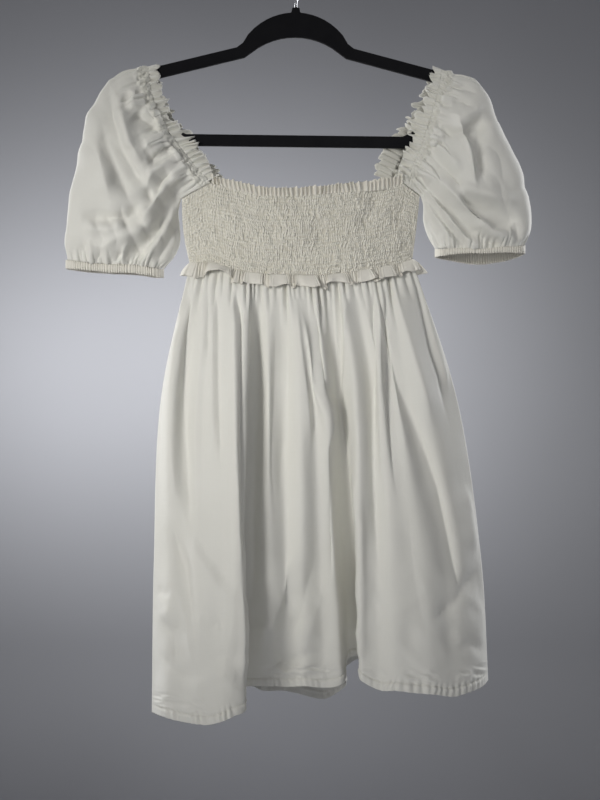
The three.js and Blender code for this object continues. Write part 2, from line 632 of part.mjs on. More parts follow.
function hangerOutline() {
  const { archTop, archRadius, archReach, slope, armTop, armFrom, tip, barLow, barEnd, nubWidth, nubHeight } = HANGER;
  const half = [];
  half.push([nubWidth / 2 - 1, archTop + nubHeight]);
  for (const x of steps(7, nubWidth / 2, archReach)) {
    half.push([x, archTop - archRadius + Math.sqrt(archRadius ** 2 - x ** 2)]);
  }
  half.push([archReach + 6, -105.6]);
  half.push([armFrom, armTop]);
  const armEnd = tip - 12;
  const endZ = armTop - slope * (armEnd - armFrom);
  half.push([armEnd, endZ], [tip - 5, endZ - 3.5], [tip - 0.8, endZ - 8.5], [tip, endZ - 14], [tip - 2, endZ - 19]);
  half.push([barEnd + 12, barLow + 7], [barEnd + 5, barLow + 2], [barEnd - 4, barLow]);
  const other = half.map(([x, z]) => [-x, z]).reverse();
  return [...half, ...other];
}

function hangerGap() {
  const { archTop, innerRadius, band, slope, armTop, armFrom, armDeep, tip, barTop, barEnd } = HANGER;
  const half = [];
  const top = archTop - band;
  for (const x of steps(6, 0, 54)) half.push([x, top - innerRadius + Math.sqrt(innerRadius ** 2 - x ** 2)]);
  half.push([62, armTop - armDeep + slope * (armFrom - 62)]);
  const armEnd = tip - 20;
  const endZ = armTop - armDeep - slope * (armEnd - armFrom);
  half.push([armEnd - 6, endZ + 1.4], [armEnd, endZ - 2.5], [armEnd - 1, endZ - 7]);
  half.push([barEnd + 4, barTop + 5], [barEnd - 6, barTop]);
  const other = half.slice(1).map(([x, z]) => [-x, z]).reverse();
  return [...half, ...other];
}

const asPoints = (list) => list.map(([x, z]) => new THREE.Vector2(x, z));
const frameShape = new THREE.Shape(asPoints(hangerOutline()));
frameShape.holes.push(new THREE.Path(asPoints(hangerGap().reverse())));
const frameBody = new THREE.ExtrudeGeometry(frameShape, { depth: HANGER.thick, bevelEnabled: false });
frameBody.translate(0, 0, -HANGER.thick / 2);
frameBody.rotateX(Math.PI / 2);

const hanger = new THREE.Group();
hanger.rotation.y = HANGER.tilt;
dress.add(hanger);
const frame = addPiece('hanger_frame', frameBody, COLOURS.coated, 0.95);
hanger.add(frame);

// the wire hook: a straight stem, a bend, three quarters of a ring and a round end
const HOOK = { wire: 3.4, inside: 22, stemTop: -52, startAngle: -52, endAngle: 200 };
const ringRadius = HOOK.inside + HOOK.wire / 2;
const ringPoint = (degrees) => {
  const a = THREE.MathUtils.degToRad(degrees);
  return new THREE.Vector3(ringRadius * Math.cos(a), 0, -HOOK.inside + ringRadius * Math.sin(a));
};
const hookLine = new THREE.CatmullRomCurve3([
  new THREE.Vector3(0, 0, HANGER.archTop + HANGER.nubHeight + SEAM),
  new THREE.Vector3(0, 0, HOOK.stemTop - 4),
  new THREE.Vector3(0.6, 0, HOOK.stemTop),
  new THREE.Vector3(6, 0, -46.8),
  ...steps(9, HOOK.startAngle, HOOK.endAngle).map(ringPoint)]);
const wireSection = new THREE.Shape(Array.from({ length: 8 }, (_, i) => new THREE.Vector2(
  HOOK.wire / 2 * Math.cos(i * Math.PI / 4), HOOK.wire / 2 * Math.sin(i * Math.PI / 4))));
const hook = addPiece('hanger_hook', new THREE.ExtrudeGeometry(wireSection,
  { steps: 34, extrudePath: hookLine, bevelEnabled: false }), COLOURS.wire, 0.35, 1);
hanger.add(hook);

export default dress;
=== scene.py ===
import math

import bmesh
import bpy
import numpy as np
from mathutils import Matrix, Vector


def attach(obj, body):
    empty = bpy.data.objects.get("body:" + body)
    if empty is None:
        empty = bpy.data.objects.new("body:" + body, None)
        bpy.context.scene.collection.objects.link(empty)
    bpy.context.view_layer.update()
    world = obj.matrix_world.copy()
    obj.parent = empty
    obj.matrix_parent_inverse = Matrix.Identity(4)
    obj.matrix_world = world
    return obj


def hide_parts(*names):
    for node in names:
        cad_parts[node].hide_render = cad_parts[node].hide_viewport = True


# A short-sleeved peasant dress on a slim flocked hanger. Sizes are in millimetres, as a maker
# writes them, and become metres where a mesh is made. +X is to the viewer's right, -Y faces
# the viewer, +Z is up, and the origin is the inside top of the hook.
# "out" is how far a place lies from the hanger's own plane, on either side of it.

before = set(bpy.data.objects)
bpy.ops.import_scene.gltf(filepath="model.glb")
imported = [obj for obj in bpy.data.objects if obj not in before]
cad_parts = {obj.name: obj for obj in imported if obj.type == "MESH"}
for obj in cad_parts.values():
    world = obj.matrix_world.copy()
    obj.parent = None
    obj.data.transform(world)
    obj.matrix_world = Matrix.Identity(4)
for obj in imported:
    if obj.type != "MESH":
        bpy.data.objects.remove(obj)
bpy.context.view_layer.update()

MM = 0.001
SIDES = {"front": 1, "back": -1}

# Cloth

POPLIN = 0.6            # thickness of the skirt's and sleeves' cloth
SHIRRED = 1.0           # thickness of the shirred cloth
FRILL_CLOTH = 0.6
CUFF_CLOTH = 1.0
THREAD_GAP = 0.00042    # from thread to thread of the weave, in metres
ELASTIC_ROWS = 23       # rows of elastic down the bodice
PUCKER = 2.7            # width of one pucker of the shirring
PUCKER_TALL = 2.35
HEM = 10                # height of the turned hem
STITCH_LINE = 0.8       # how far below the hem's turned edge its stitches run
STITCH = (2.1, 0.9, 0.42)   # length, gap and thickness of a hem stitch
STITCH_RISE = 0.12      # how far a stitch's middle stands over the cloth

# Lengths down the flat cloth of each sheet, in metres, and the bodice's width across it

BODICE_FLAT = 0.327
SKIRT_FLAT = 0.52
SLEEVE_FLAT = 0.235
WAIST_FRILL_FLAT = 0.0145
NARROW_FRILL_FLAT = 0.0115
CUFF_FLAT = 0.0105

# The bodice and the skirt

BODICE_WIDE = 277
HALF_DEPTH = 14         # how far out the bodice's middle lies
SIDE_OUT = 1.35         # how far out its sides lie
FLATNESS = 2.6          # how boxy it is, seen from above
ARMHOLE = 0.09          # share of its width at either side that a sleeve is sewn to
SKIRT_OUT = 0.15        # how far the skirt lies outside the bodice's form at the waist seam
SKIRT_LONG = 530        # about, down its folds
MID_LEVEL = -540
LOW_LEVEL = -735

# The camera: level, 1.1 m in front of the hanger's plane

CAMERA_AWAY = 1.1
CAMERA_X = 4.27
CAMERA_Z = -540.25
SEEN_TALL = 0.976

# Helpers


def through(at, value):
    """A smooth height drawn through the rows of a table, read at any station."""
    at, value = np.asarray(at, float), np.asarray(value, float)
    n = np.arange(len(at))
    before, after = np.maximum(n - 1, 0), np.minimum(n + 1, len(at) - 1)
    slope = (value[after] - value[before]) / (at[after] - at[before])

    def read(x):
        i = np.clip(np.searchsorted(at, x, side="left") - 1, 0, len(at) - 2)
        span = at[i + 1] - at[i]
        q = np.clip((x - at[i]) / span, 0, 1)
        return ((2 * q**3 - 3 * q**2 + 1) * value[i] + (q**3 - 2 * q**2 + q) * span * slope[i]
                + (3 * q**2 - 2 * q**3) * value[i + 1] + (q**3 - q**2) * span * slope[i + 1])

    return read


def curve_at(points, t):
    """Places on the smooth line through points (..., rows, 3), at shares t of its way."""
    last = points.shape[-2] - 1
    p = np.clip(t, 0, 1) * last
    i = np.minimum(p.astype(int), last - 1)
    w = (p - i)[:, None]
    first = 2 * points[..., :1, :] - points[..., 1:2, :]
    final = 2 * points[..., -1:, :] - points[..., -2:-1, :]
    padded = np.concatenate([first, points, final], axis=-2)
    a, b, c, d = (padded[..., i + k, :] for k in range(4))
    ab, bc, cd = (np.maximum(((n - m) ** 2).sum(-1, keepdims=True), 1e-12) ** 0.25
                  for m, n in ((a, b), (b, c), (c, d)))
    leave = ((b - a) / ab - (c - a) / (ab + bc) + (c - b) / bc) * bc
    arrive = ((c - b) / bc - (d - b) / (bc + cd) + (d - c) / cd) * bc
    return (b + leave * w + (-3 * b + 3 * c - 2 * leave - arrive) * w**2
            + (2 * b - 2 * c + leave + arrive) * w**3)


def unit(vectors):
    return vectors / (np.linalg.norm(vectors, axis=-1, keepdims=True) + 1e-9)


def length_along(places, axis=0):
    """How far each place lies from the first one of its row or column, along the cloth."""
    step = np.linalg.norm(np.diff(places, axis=axis), axis=-1)
    return np.insert(np.cumsum(step, axis=axis), 0, 0, axis=axis)


def edge(rows, side=1):
    """A smooth line in space through rows of (x, out, z), walked by its own length."""
    points = np.array(rows, float) * (1, -side, 1)
    ticks = np.linspace(0, 1, 401)
    length = length_along(curve_at(points, ticks))
    return lambda q: curve_at(points, np.interp(np.clip(q, 0, 1) * length[-1], length, ticks))


def lerp(a, b, q):
    return a + (b - a) * q


def ease(q):
    q = np.clip(q, 0, 1)
    return q * q * (3 - 2 * q)


def bell(q):
    return np.exp(-q ** 2)


def inside(u, margin):
    """0 at either end of the way u, and 1 from a margin inside them."""
    return np.minimum(1, np.minimum(u, 1 - u) / margin)


def steps(*parts):
    """Stations from 0 and from part to part, each (how many, up to)."""
    stations = [0]
    for count, upto in parts:
        stations += list(np.linspace(stations[-1], upto, count + 1)[1:])
    return np.array(stations, float)


def uneven(u, v, size_u, size_v, seed):
    """Smooth uneven heights from -1 to 1, size_u by size_v apart, the same ones each time."""
    cells = np.random.default_rng(seed).uniform(-1, 1, (97, 89))
    p, q = np.broadcast_arrays(np.asarray(u, float) / size_u, np.asarray(v, float) / size_v)
    i, j = np.floor(p).astype(int), np.floor(q).astype(int)
    s, t = ease(p - i), ease(q - j)
    low, high = (lerp(cells[i % 97, k % 89], cells[(i + 1) % 97, k % 89], s) for k in (j, j + 1))
    return lerp(low, high, t)


def chance(along, size, seed):
    """Uneven heights that change along one way alone."""
    return uneven(along, 0, size, 1, seed)


def sharp_uneven(u, v, size_u, size_v, seed, sharp=2.4):
    """Uneven heights with narrow ridges, up to 1."""
    return 1 - sharp * np.abs(uneven(u, v, size_u, size_v, seed))


def outward(places, sense):
    """The direction square to a grid of places, [row, column], on its outer side."""
    return unit(np.cross(np.gradient(places, axis=1), np.gradient(places, axis=0)) * sense)


def seen(places):
    """Where places seem to lie on the hanger's own plane, seen from the camera."""
    near = CAMERA_AWAY / (CAMERA_AWAY + places[..., 1] * MM)
    return (places[..., 0] - CAMERA_X) * near + CAMERA_X, (places[..., 2] - CAMERA_Z) * near + CAMERA_Z


def creases(rows, x, z):
    """Soft troughs and ridges along given lines, seen from the front.

    A row is (wide, skew, deep, taper, x, z, x, z, ...). The height is deep at the line and falls
    off over wide, which skew makes narrower on the line's left and wider on its right. It runs
    out over the share taper at either end."""
    total = np.zeros(x.shape)
    for wide, skew, deep, taper, *line in rows:
        line = np.array(line, float).reshape(-1, 2)
        length = length_along(line)
        best, along, left = np.full(x.shape, 1e9), np.zeros(x.shape), np.zeros(x.shape)
        for k, start in enumerate(line[:-1]):
            d = line[k + 1] - start
            q = np.clip(((x - start[0]) * d[0] + (z - start[1]) * d[1]) / (d @ d), 0, 1)
            away_x, away_z = x - start[0] - q * d[0], z - start[1] - q * d[1]
            away = np.hypot(away_x, away_z)
            nearer = away < best
            best = np.where(nearer, away, best)
            left = np.where(nearer, np.sign(d[0] * away_z - d[1] * away_x), left)
            along = np.where(nearer, lerp(length[k], length[k + 1], q) / length[-1], along)
        ends = 0.12 + 0.88 * ease(along / taper) * ease((1 - along) / taper)
        total += deep * ends * np.exp(-(best / (wide * (1 - skew * left))) ** 1.25)
    return total


# Finishes


class Value:
    """A node's output that takes part in sums."""

    def __init__(self, finish, out):
        self.finish, self.out = finish, out

    def sum(self, operation, first, second):
        return self.finish.node("ShaderNodeMath", {"operation": operation}, {0: first, 1: second})

    def __add__(self, other):
        return self.sum("ADD", self, other)

    def __radd__(self, other):
        return self.sum("ADD", other, self)

    def __sub__(self, other):
        return self.sum("SUBTRACT", self, other)

    def __rsub__(self, other):
        return self.sum("SUBTRACT", other, self)

    def __mul__(self, other):
        return self.sum("MULTIPLY", self, other)

    def __rmul__(self, other):
        return self.sum("MULTIPLY", other, self)


class Finish:
    """One finish: a material, and the one way in which its nodes are made."""

    def __init__(self, name):
        self.material = bpy.data.materials.new(name)
        self.material.use_nodes = True
        self.tree = self.material.node_tree
        self.tree.nodes.clear()

    def node(self, kind, settings=None, sockets=None, out=0):
        made = self.tree.nodes.new(kind)
        for key, value in (settings or {}).items():
            setattr(made, key, value)
        for key, value in (sockets or {}).items():
            if isinstance(value, Value):
                self.tree.links.new(value.out, made.inputs[key])
            else:
                made.inputs[key].default_value = value
        return Value(self, made.outputs[out]) if made.outputs else None

    def place(self):
        return self.node("ShaderNodeTexCoord", out="Object")

    def cut(self):
        """The place on the flat cloth, in metres."""
        return self.node("ShaderNodeUVMap", {"uv_map": "cut"})

    def painted_lit(self):
        """1 where the cloth stands proud and is painted lit, and 0 down in a gather, where shade is painted.
        """
        return self.node("ShaderNodeAttribute", {"attribute_name": "painted_lit"}, out="Fac")

    def stretched(self, vector, *scale):
        return self.node("ShaderNodeMapping", sockets={"Vector": vector, "Scale": scale})

    def noise(self, vector, scale, detail=2, rough=0.5, **settings):
        return self.node("ShaderNodeTexNoise", settings, {
            "Vector": vector, "Scale": scale, "Detail": detail, "Roughness": rough})

    def weave(self, cut):
        """The threads of plain cloth, over and under each other."""
        split = self.node("ShaderNodeSeparateXYZ", sockets={0: cut}).out.node.outputs
        warp, weft = (self.node("ShaderNodeMath", {"operation": "SINE"}, {
            0: Value(self, split[k]) * (2 * math.pi / THREAD_GAP)}) for k in range(2))
        return warp * weft * 0.5 + 0.5

    def mix(self, share, first, second):
        """From a first colour to a second one, each a node's or (red, green, blue)."""
        first, second = (c if isinstance(c, Value) else (*c, 1) for c in (first, second))
        return self.node("ShaderNodeMix", {"data_type": "RGBA"}, {0: share, 6: first, 7: second}, out=2)

    def bump(self, height, distance, strength, normal=None):
        sockets = {"Height": height, "Distance": distance, "Strength": strength}
        if normal is not None:
            sockets["Normal"] = normal
        return self.node("ShaderNodeBump", sockets=sockets)

    def shader(self, **sockets):
        """The finish's one shader, with its own sockets set."""
        surface = self.node("ShaderNodeBsdfPrincipled", sockets={
            key.replace("_", " "): value for key, value in sockets.items()})
        self.node("ShaderNodeOutputMaterial", sockets={"Surface": surface})
        return self.material


def poplin(name, light, shade, crumple=1.0):
    """Plain cotton: a fine over-and-under weave, faint slubs and the crumple of handling."""
    f = Finish(name)
    place, cut = f.place(), f.cut()
    slubs = f.noise(f.stretched(cut, 900, 30, 1), 1) * 0.5 + f.noise(f.stretched(cut, 30, 900, 1), 1) * 0.5
    patches = f.noise(place, 9, 3, 0.6)
    # random patches and slubs of tone, and painted shade down in the gathers and hollows
    shadeness = patches * 0.45 + slubs * 0.3 + (1 - f.painted_lit()) * 0.6
    sharp = f.noise(place, 42, 3, noise_type="RIDGED_MULTIFRACTAL", normalize=True)
    normal = f.bump(f.noise(place, 26, 3, 0.55), 0.0022 * crumple, 0.55)
    normal = f.bump(sharp, 0.0007 * crumple, 0.35, normal)
    normal = f.bump(slubs, 0.00012, 0.5, normal)
    normal = f.bump(f.weave(cut), 0.00005, 0.5, normal)
    return f.shader(Base_Color=f.mix(shadeness, light, shade), Roughness=patches * 0.1 + 0.78, Normal=normal,
                    Sheen_Weight=0.25, Sheen_Roughness=0.5, Specular_IOR_Level=0.25)


def shirring(name, light, shade):
    """The shirred cloth: creamier, with each pucker finely creased."""
    f = Finish(name)
    place, cut = f.place(), f.cut()
    patches = f.noise(place, 14, 3, 0.6)
    fine = f.noise(f.stretched(place, 700, 300, 260), 1, 3, 0.6)
    # random patches of tone, and painted shade down between the puckers and along the elastic rows
    tone_and_hollow_shade = patches * 0.35 + fine * 0.3 + (1 - f.painted_lit()) * 0.8
    cells = f.node("ShaderNodeTexVoronoi", {"feature": "SMOOTH_F1"}, {
        "Vector": f.stretched(cut, 430, 330, 1), "Scale": 1, "Smoothness": 0.4}, out="Distance")
    normal = f.bump(1 - cells, 0.0008, 0.6)
    normal = f.bump(fine, 0.0006, 0.6, normal)
    normal = f.bump(f.weave(cut), 0.00005, 0.4, normal)
    return f.shader(Base_Color=f.mix(tone_and_hollow_shade, light, shade), Roughness=patches * 0.08 + 0.82, Normal=normal,
                    Sheen_Weight=0.2, Sheen_Roughness=0.5, Specular_IOR_Level=0.2)


def flock(name):
    """Short black velvet flock, with a little lint."""
    f = Finish(name)
    place = f.place()
    clouds = f.noise(place, 60, 3, 0.6)
    lint = f.node("ShaderNodeMapRange", {"clamp": True}, {
        "Value": f.noise(place, 420, 4, 0.7), "From Min": 0.66, "From Max": 0.8})
    base = f.mix(clouds, (0.0045, 0.0045, 0.006), (0.011, 0.011, 0.013))
    return f.shader(Base_Color=f.mix(lint * 0.18, base, (0.16, 0.16, 0.17)), Roughness=clouds * 0.1 + 0.86,
                    Normal=f.bump(f.noise(place, 2600, 2, 0.6), 0.0004, 0.6),
                    Sheen_Weight=0.12, Sheen_Roughness=0.4, Specular_IOR_Level=0.15)


def plated(name):
    """Plated wire with drawing marks along it and a few dull patches."""
    f = Finish(name)
    place = f.place()
    marks = f.noise(f.stretched(place, 900, 900, 90), 1, 3)
    dull = f.noise(place, 45, 3, 0.6)
    return f.shader(Base_Color=f.mix(dull, (0.66, 0.67, 0.69), (0.46, 0.46, 0.47)), Metallic=1,
                    Roughness=dull * 0.22 + 0.12, Normal=f.bump(marks, 0.00004, 0.4))


def sewing_thread(name):
    f = Finish(name)
    twist = f.noise(f.place(), 1800)
    return f.shader(Base_Color=f.mix(twist, (0.86, 0.85, 0.82), (0.72, 0.71, 0.67)),
                    Roughness=twist * 0.2 + 0.5, Normal=f.bump(twist, 0.0001, 0.5), Specular_IOR_Level=0.35)


def painted(name, light, shade, scale):
    f = Finish(name)
    clouds = f.noise(f.place(), scale)
    return f.shader(Base_Color=f.mix(clouds, light, shade), Roughness=clouds * 0.1 + 0.85)


# each cloth has a light colour and a darker one: random tone mixes them, and so does painted shade in the
# cloth's hollows
COTTON = poplin("cotton_poplin", (0.83, 0.825, 0.785), (0.70, 0.69, 0.62))
FRILL_COTTON = poplin("frill_poplin", (0.85, 0.83, 0.765), (0.70, 0.67, 0.59), crumple=0.5)
SHIRRED_COTTON = shirring("shirred_cotton", (0.86, 0.845, 0.78), (0.64, 0.61, 0.52))
FLOCK = flock("velvet_flock")
WIRE = plated("plated_wire")
THREAD = sewing_thread("sewing_thread")

# Making pieces


def put(name, data):
    """A new object of the scene."""
    made = bpy.data.objects.new(name, data)
    bpy.context.scene.collection.objects.link(made)
    return made


def mesh_of(bm, name):
    mesh = bpy.data.meshes.new(name)
    bm.to_mesh(mesh)
    bm.free()
    mesh.shade_smooth()
    return mesh


def add_piece(name, mesh, finish, node=None):
    """A piece of the dress or hanger, in the place of the plain node where one is named."""
    piece = put(name, mesh)
    mesh.materials.append(finish)
    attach(piece, "root")
    if node:
        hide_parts(node)
    return piece


def flat_size(places, long):
    """The cloth's size laid flat: its own area over its length down the cloth, and that length."""
    p = places * MM
    a, b, c, d = p[:-1, :-1], p[:-1, 1:], p[1:, 1:], p[1:, :-1]
    area = float((np.linalg.norm(np.cross(b - a, c - a), axis=-1)
                  + np.linalg.norm(np.cross(c - a, d - a), axis=-1)).sum() / 2)
    return round(area / long, 3), long


def hanger_plane(place):
    """The place behind this one on the hanger's own plane."""
    return Vector((place.x, 0.0, place.z))


def cloth(node, places, stations, levels, flat, finish, thick, painted_lit, core=hanger_plane):
    """A thin shell of cloth: a plain grid whose corners are put at places[row, column].

    stations and levels give its columns' and rows' places on the flat cloth. core gives the
    place that a face turns its back to. raised, from 0 to 1, tells the finish where the cloth
    stands proud and is painted lit, and where it lies down in a hollow and is painted in shade."""
    rows, columns = places.shape[:2]
    bm = bmesh.new()
    bmesh.ops.create_grid(bm, x_segments=columns - 1, y_segments=rows - 1, size=0.5)
    mesh = mesh_of(bm, node)
    at = np.zeros(len(mesh.vertices) * 3)
    mesh.vertices.foreach_get("co", at)
    at = at.reshape(-1, 3)
    i = np.rint((at[:, 0] + 0.5) * (columns - 1)).astype(int)
    j = np.rint((0.5 - at[:, 1]) * (rows - 1)).astype(int)
    mesh.vertices.foreach_set("co", (places[j, i] * MM).ravel())
    uses = np.zeros(len(mesh.loops), int)
    mesh.loops.foreach_get("vertex_index", uses)
    span, drop = stations - stations[0], levels - levels[0]
    flat_at = np.stack([span[i] / span[-1] * flat[0], drop[j] / drop[-1] * flat[1]], -1)
    mesh.uv_layers.new(name="cut").data.foreach_set("uv", flat_at[uses].ravel())
    # the mask of painted shade: 1 where the cloth is painted lit, 0 where shade is painted
    proud = mesh.attributes.new("painted_lit", "FLOAT", "POINT")
    proud.data.foreach_set("value", np.clip(painted_lit[j, i], 0, 1))
    mesh.update()
    bm = bmesh.new()
    bm.from_mesh(mesh)
    bmesh.ops.remove_doubles(bm, verts=bm.verts, dist=1e-6)
    away = 0
    for face in bm.faces:
        centre = face.calc_center_median()
        away += face.normal.dot(centre - core(centre)) * face.calc_area()
    if away < 0:
        bmesh.ops.reverse_faces(bm, faces=bm.faces)
    bm.to_mesh(mesh)
    bm.free()
    piece = add_piece(node, mesh, finish, node)
    shell = piece.modifiers.new("thickness", "SOLIDIFY")
    shell.thickness, shell.offset = thick * MM, 0.0


def stitches(name, line, face, long, gap, thick):
    """Thread stitches along a line of places on cloth, each a small bead sunk by its half."""
    length = length_along(line)
    count = int(length[-1] // (long + gap))
    starts = (np.arange(count) + 0.5) * length[-1] / count
    at, ahead, out = (np.stack([np.interp(stops, length, ways[:, k]) for k in range(3)], -1)
                      for stops, ways in ((starts, line), (starts + 0.5, line), (starts, face)))
    size = Matrix.Diagonal((long / 2 * MM, thick / 2 * MM, thick / 2 * MM, 1))
    bm = bmesh.new()
    for p, q, n in zip(at, ahead, out):
        x = Vector(q - p).normalized()
        z = Vector(n).normalized()
        y = z.cross(x).normalized()
        z = x.cross(y)
        place = Matrix.Translation(Vector(p) * MM + z * STITCH_RISE * MM)
        turn = Matrix((x, y, z)).transposed().to_4x4()
        bmesh.ops.create_icosphere(bm, subdivisions=1, radius=1.0, matrix=place @ turn @ size)
    add_piece(name, mesh_of(bm, name), THREAD)


# The bodice

# (x, z) along the waist seam
WAIST = [
    (-130, -374.5), (-104, -373), (-77, -382), (-43, -388.5), (-7, -390), (26, -391), (58, -387.5),
    (89, -382), (118, -376.5), (141, -369.5),
]
waist_z = through(*zip(*WAIST))
LEFT, RIGHT = WAIST[0][0], WAIST[-1][0]
UNDERARM = {"left": (-139.5, -295.3), "right": (150.0, -291.7)}
SIDE_SWELL = {"left": 3, "right": 0.5}
NECKLINES = {
    "front": [
        (-104, -277.5), (-70.5, -286), (-40, -293.5), (4, -294.2), (69, -288.5), (101, -286),
        (129.5, -277.5),
    ],
    "back": [
        (-99, -276), (-60, -285), (-20, -290), (30, -290), (70, -285), (112, -275),
    ],
}


def lens(q):
    """How far out the bodice's face lies from its sides, at shares q across."""
    return HALF_DEPTH * (1 - np.abs(2 * q - 1) ** FLATNESS)


def bodice_face(which, s, t):
    """Places of the bodice's cloth at shares s across and t down, as [row, column]."""
    neck_x, neck_z = np.array(NECKLINES[which], float).T
    x = lerp(neck_x[0], neck_x[-1], (s - ARMHOLE) / (1 - 2 * ARMHOLE))
    z = through(neck_x, neck_z)(x)
    for far, corner, q in (("left", 0, s / ARMHOLE), ("right", -1, (1 - s) / ARMHOLE)):
        x = np.where(q < 1, lerp(UNDERARM[far][0], neck_x[corner], q), x)
        z = np.where(q < 1, lerp(UNDERARM[far][1], neck_z[corner], q), z)
    low_x = lerp(LEFT, RIGHT, s)
    swell = np.sin(np.pi * t)[:, None]
    lean = np.where(s < 0.5, -SIDE_SWELL["left"], SIDE_SWELL["right"]) * (2 * s - 1) ** 2
    out = SIDE_OUT + lens(s) + 1.5 * swell * lens(s) / HALF_DEPTH
    t = t[:, None]
    return np.stack([lerp(x, low_x, t) + lean * swell, -SIDES[which] * out, lerp(z, waist_z(low_x), t)], -1)


# wide, skew, deep, taper, then x and z of the places along each crease
BODICE_CREASES = {
    "front": [
        (13, 0.3, -4.5, 0.25, 103, -282, 93, -305, 77, -337), (15, 0, 3, 0.3, 90, -290, 68, -332),
        (14, 0.2, -2.2, 0.3, -36, -300, -30, -352), (18, 0, 2, 0.3, -92, -306, -58, -352),
        (12, 0.2, -2, 0.3, 22, -316, 30, -372), (9, 0, -2, 0.2, -124, -302, -106, -322),
        (9, 0, -2, 0.2, 138, -298, 120, -322), (10, 0, 2, 0.3, 124, -330, 118, -366),
    ],
    "back": [
        (13, 0.2, -3.4, 0.3, -70, -290, -52, -340), (16, 0, 2.6, 0.3, -10, -300, 8, -360),
        (12, -0.2, -3.2, 0.3, 58, -292, 44, -345), (9, 0, -2, 0.2, -120, -300, -106, -324),
        (9, 0, -1.8, 0.2, 132, -296, 118, -320),
    ],
}


def pucker_height(across, row, seed, low=0.2, jitter=0.55):
    """Height from 0 to 1 of shirred cloth: across in puckers, row in rows of elastic."""
    band = np.floor(row)
    q = row - band
    shift = np.random.default_rng(seed).uniform(-0.5, 0.5, 200)
    k = band.astype(int) % 199
    turn = across + lerp(shift[k], shift[k + 1], q) + jitter * uneven(across, row, 3.1, 1.7, seed + 1)
    rib = (0.5 + 0.5 * np.cos(2 * np.pi * turn)) ** 0.8
    puff = low + (1 - low) * np.abs(np.sin(np.pi * q)) ** 0.8
    strength = 0.85 + 0.75 * uneven(across, row, 0.9, 0.8, seed + 2)
    return puff * (0.2 + 0.8 * rib) * strength + 0.1 * uneven(across, row, 0.7, 0.5, seed + 3)


def make_bodice(which, columns, rows, seed):
    side = SIDES[which]
    s, t = np.linspace(0, 1, columns + 1), np.linspace(0, 1, rows + 1)
    places = bodice_face(which, s, t)
    x, z = seen(places)
    relief = creases(BODICE_CREASES[which], x, z) + 1.6 * uneven(x, z, 34, 26, seed + 5)
    places[..., 1] -= side * relief * np.minimum(1, 12 * s * (1 - s))
    row = t[:, None] * ELASTIC_ROWS + 0.32 * uneven(x, z, 24, 30, seed + 3)
    height = pucker_height(s * BODICE_WIDE / PUCKER, np.clip(row, 0, ELASTIC_ROWS - 0.001), seed)
    ends = 0.3 + 0.7 * inside(t, 0.01)[:, None]
    rise = PUCKER_TALL * height * inside(s, 0.012) * ends - 0.6
    places = places + outward(places, -side) * rise[..., None]
    # the last figure paints shade on the shirring where it lies low, between the puckers and along the
    # elastic
    cloth(f"bodice_{which}", places, s, t, flat_size(places, BODICE_FLAT)[::-1], SHIRRED_COTTON, SHIRRED,
          0.15 + 1.25 * height)


make_bodice("front", 470, 96, 11)
make_bodice("back", 340, 72, 23)

# The skirt

# Each row is a fold from waist to hem: x at the seam, then x and out at the middle level, at the
# low level and at the hem, and the hem's z
FOLDS = {
    "front": [
        # the left lobe, from the left seam over its shoulder to its edge
        (-130, -165.3, 0, -173.8, 0, -176.3, 0, -920.9), (-121, -148.8, 18, -151.2, 26, -151, 38, -914.1),
        (-112, -135.4, 18, -133.4, 32, -132, 49, -915.2), (-101, -120.1, 28, -117.4, 42, -115.7, 59, -914),
        (-92, -110.3, 29, -107.2, 46, -102.6, 64, -913.7), (-82, -90.8, 37, -88.4, 52, -89.4, 69, -909.2),
        (-71, -79.5, 41, -78.3, 57, -80.3, 70, -905.8), (-65, -65.7, 48, -68.4, 60, -71.3, 68, -901.9),
        (-59, -53.3, 40, -56.6, 54, -59.7, 60, -899),
        # the tuck behind it and the middle
        (-50, -52.3, 14, -63.2, 14, -68, 14, -887.1), (-36, -32.6, 25, -31.5, 22, -34.2, 15, -884.1),
        (-20, -16.2, 16, -12.7, 12, -12.7, 6, -887.9), (-8, 4.3, 28, 7.8, 23, 11.5, 14, -885.3),
        (10, 21, 22, 27.2, 14, 33.4, 7, -888.5), (20, 36.2, 30, 45, 18, 55.1, 8, -884.2),
        # the deep fold
        (33, 49.2, 4, 58.7, -16, 65.8, -32, -862.9), (45, 57.8, 4, 80, -20, 89.8, -34, -862.2),
        # the right lobe, from its edge to the right seam
        (56, 70.7, 31, 75.4, 40, 75.6, 46, -867.6), (66, 92.1, 21, 95.3, 38, 96.6, 49, -878.1),
        (76, 102, 34, 111.4, 48, 116.2, 59, -875.9), (85, 112.3, 33, 130.3, 49, 136.9, 60, -878.2),
        (97, 121, 35, 149.6, 49, 158.8, 58, -880.5), (109, 134.3, 29, 174.5, 39, 182, 48, -886.3),
        (121, 154.7, 28, 192.9, 34, 199.1, 40, -885.2), (132, 177.7, 14, 210.7, 18, 217.9, 24, -883.9),
        (141, 195.8, 0, 225.1, 0, 233.6, 0, -881.9),
    ],
    "back": [
        (-130, -165.3, 0, -173.8, 0, -176.3, 0, -920.9), (-116, -150, 20, -156, 28, -160, 34, -918),
        (-100, -132, 12, -134, 18, -136, 24, -912), (-84, -112, 30, -113, 44, -112, 54, -910),
        (-67, -88, 16, -88, 26, -86, 34, -906), (-50, -64, 34, -64, 50, -62, 58, -907),
        (-33, -42, 20, -42, 34, -43, 42, -908.5), (-16, -20, 36, -18, 56, -16, 68, -917),
        (2, 2, 24, 4, 44, 6, 60, -919.5), (20, 24, 40, 30, 64, 37, 80, -931),
        (36, 44, 26, 52, 56, 61, 75, -915), (50, 60, 16, 62, 32, 60, 44, -882),
        (64, 80, 38, 84, 56, 88, 66, -873), (82, 102, 22, 110, 34, 114, 42, -870),
        (100, 126, 36, 140, 50, 146, 58, -868), (118, 152, 18, 172, 28, 180, 36, -870),
        (131, 176, 16, 200, 22, 208, 28, -876), (141, 195.8, 0, 225.1, 0, 233.6, 0, -881.9),
    ],
}


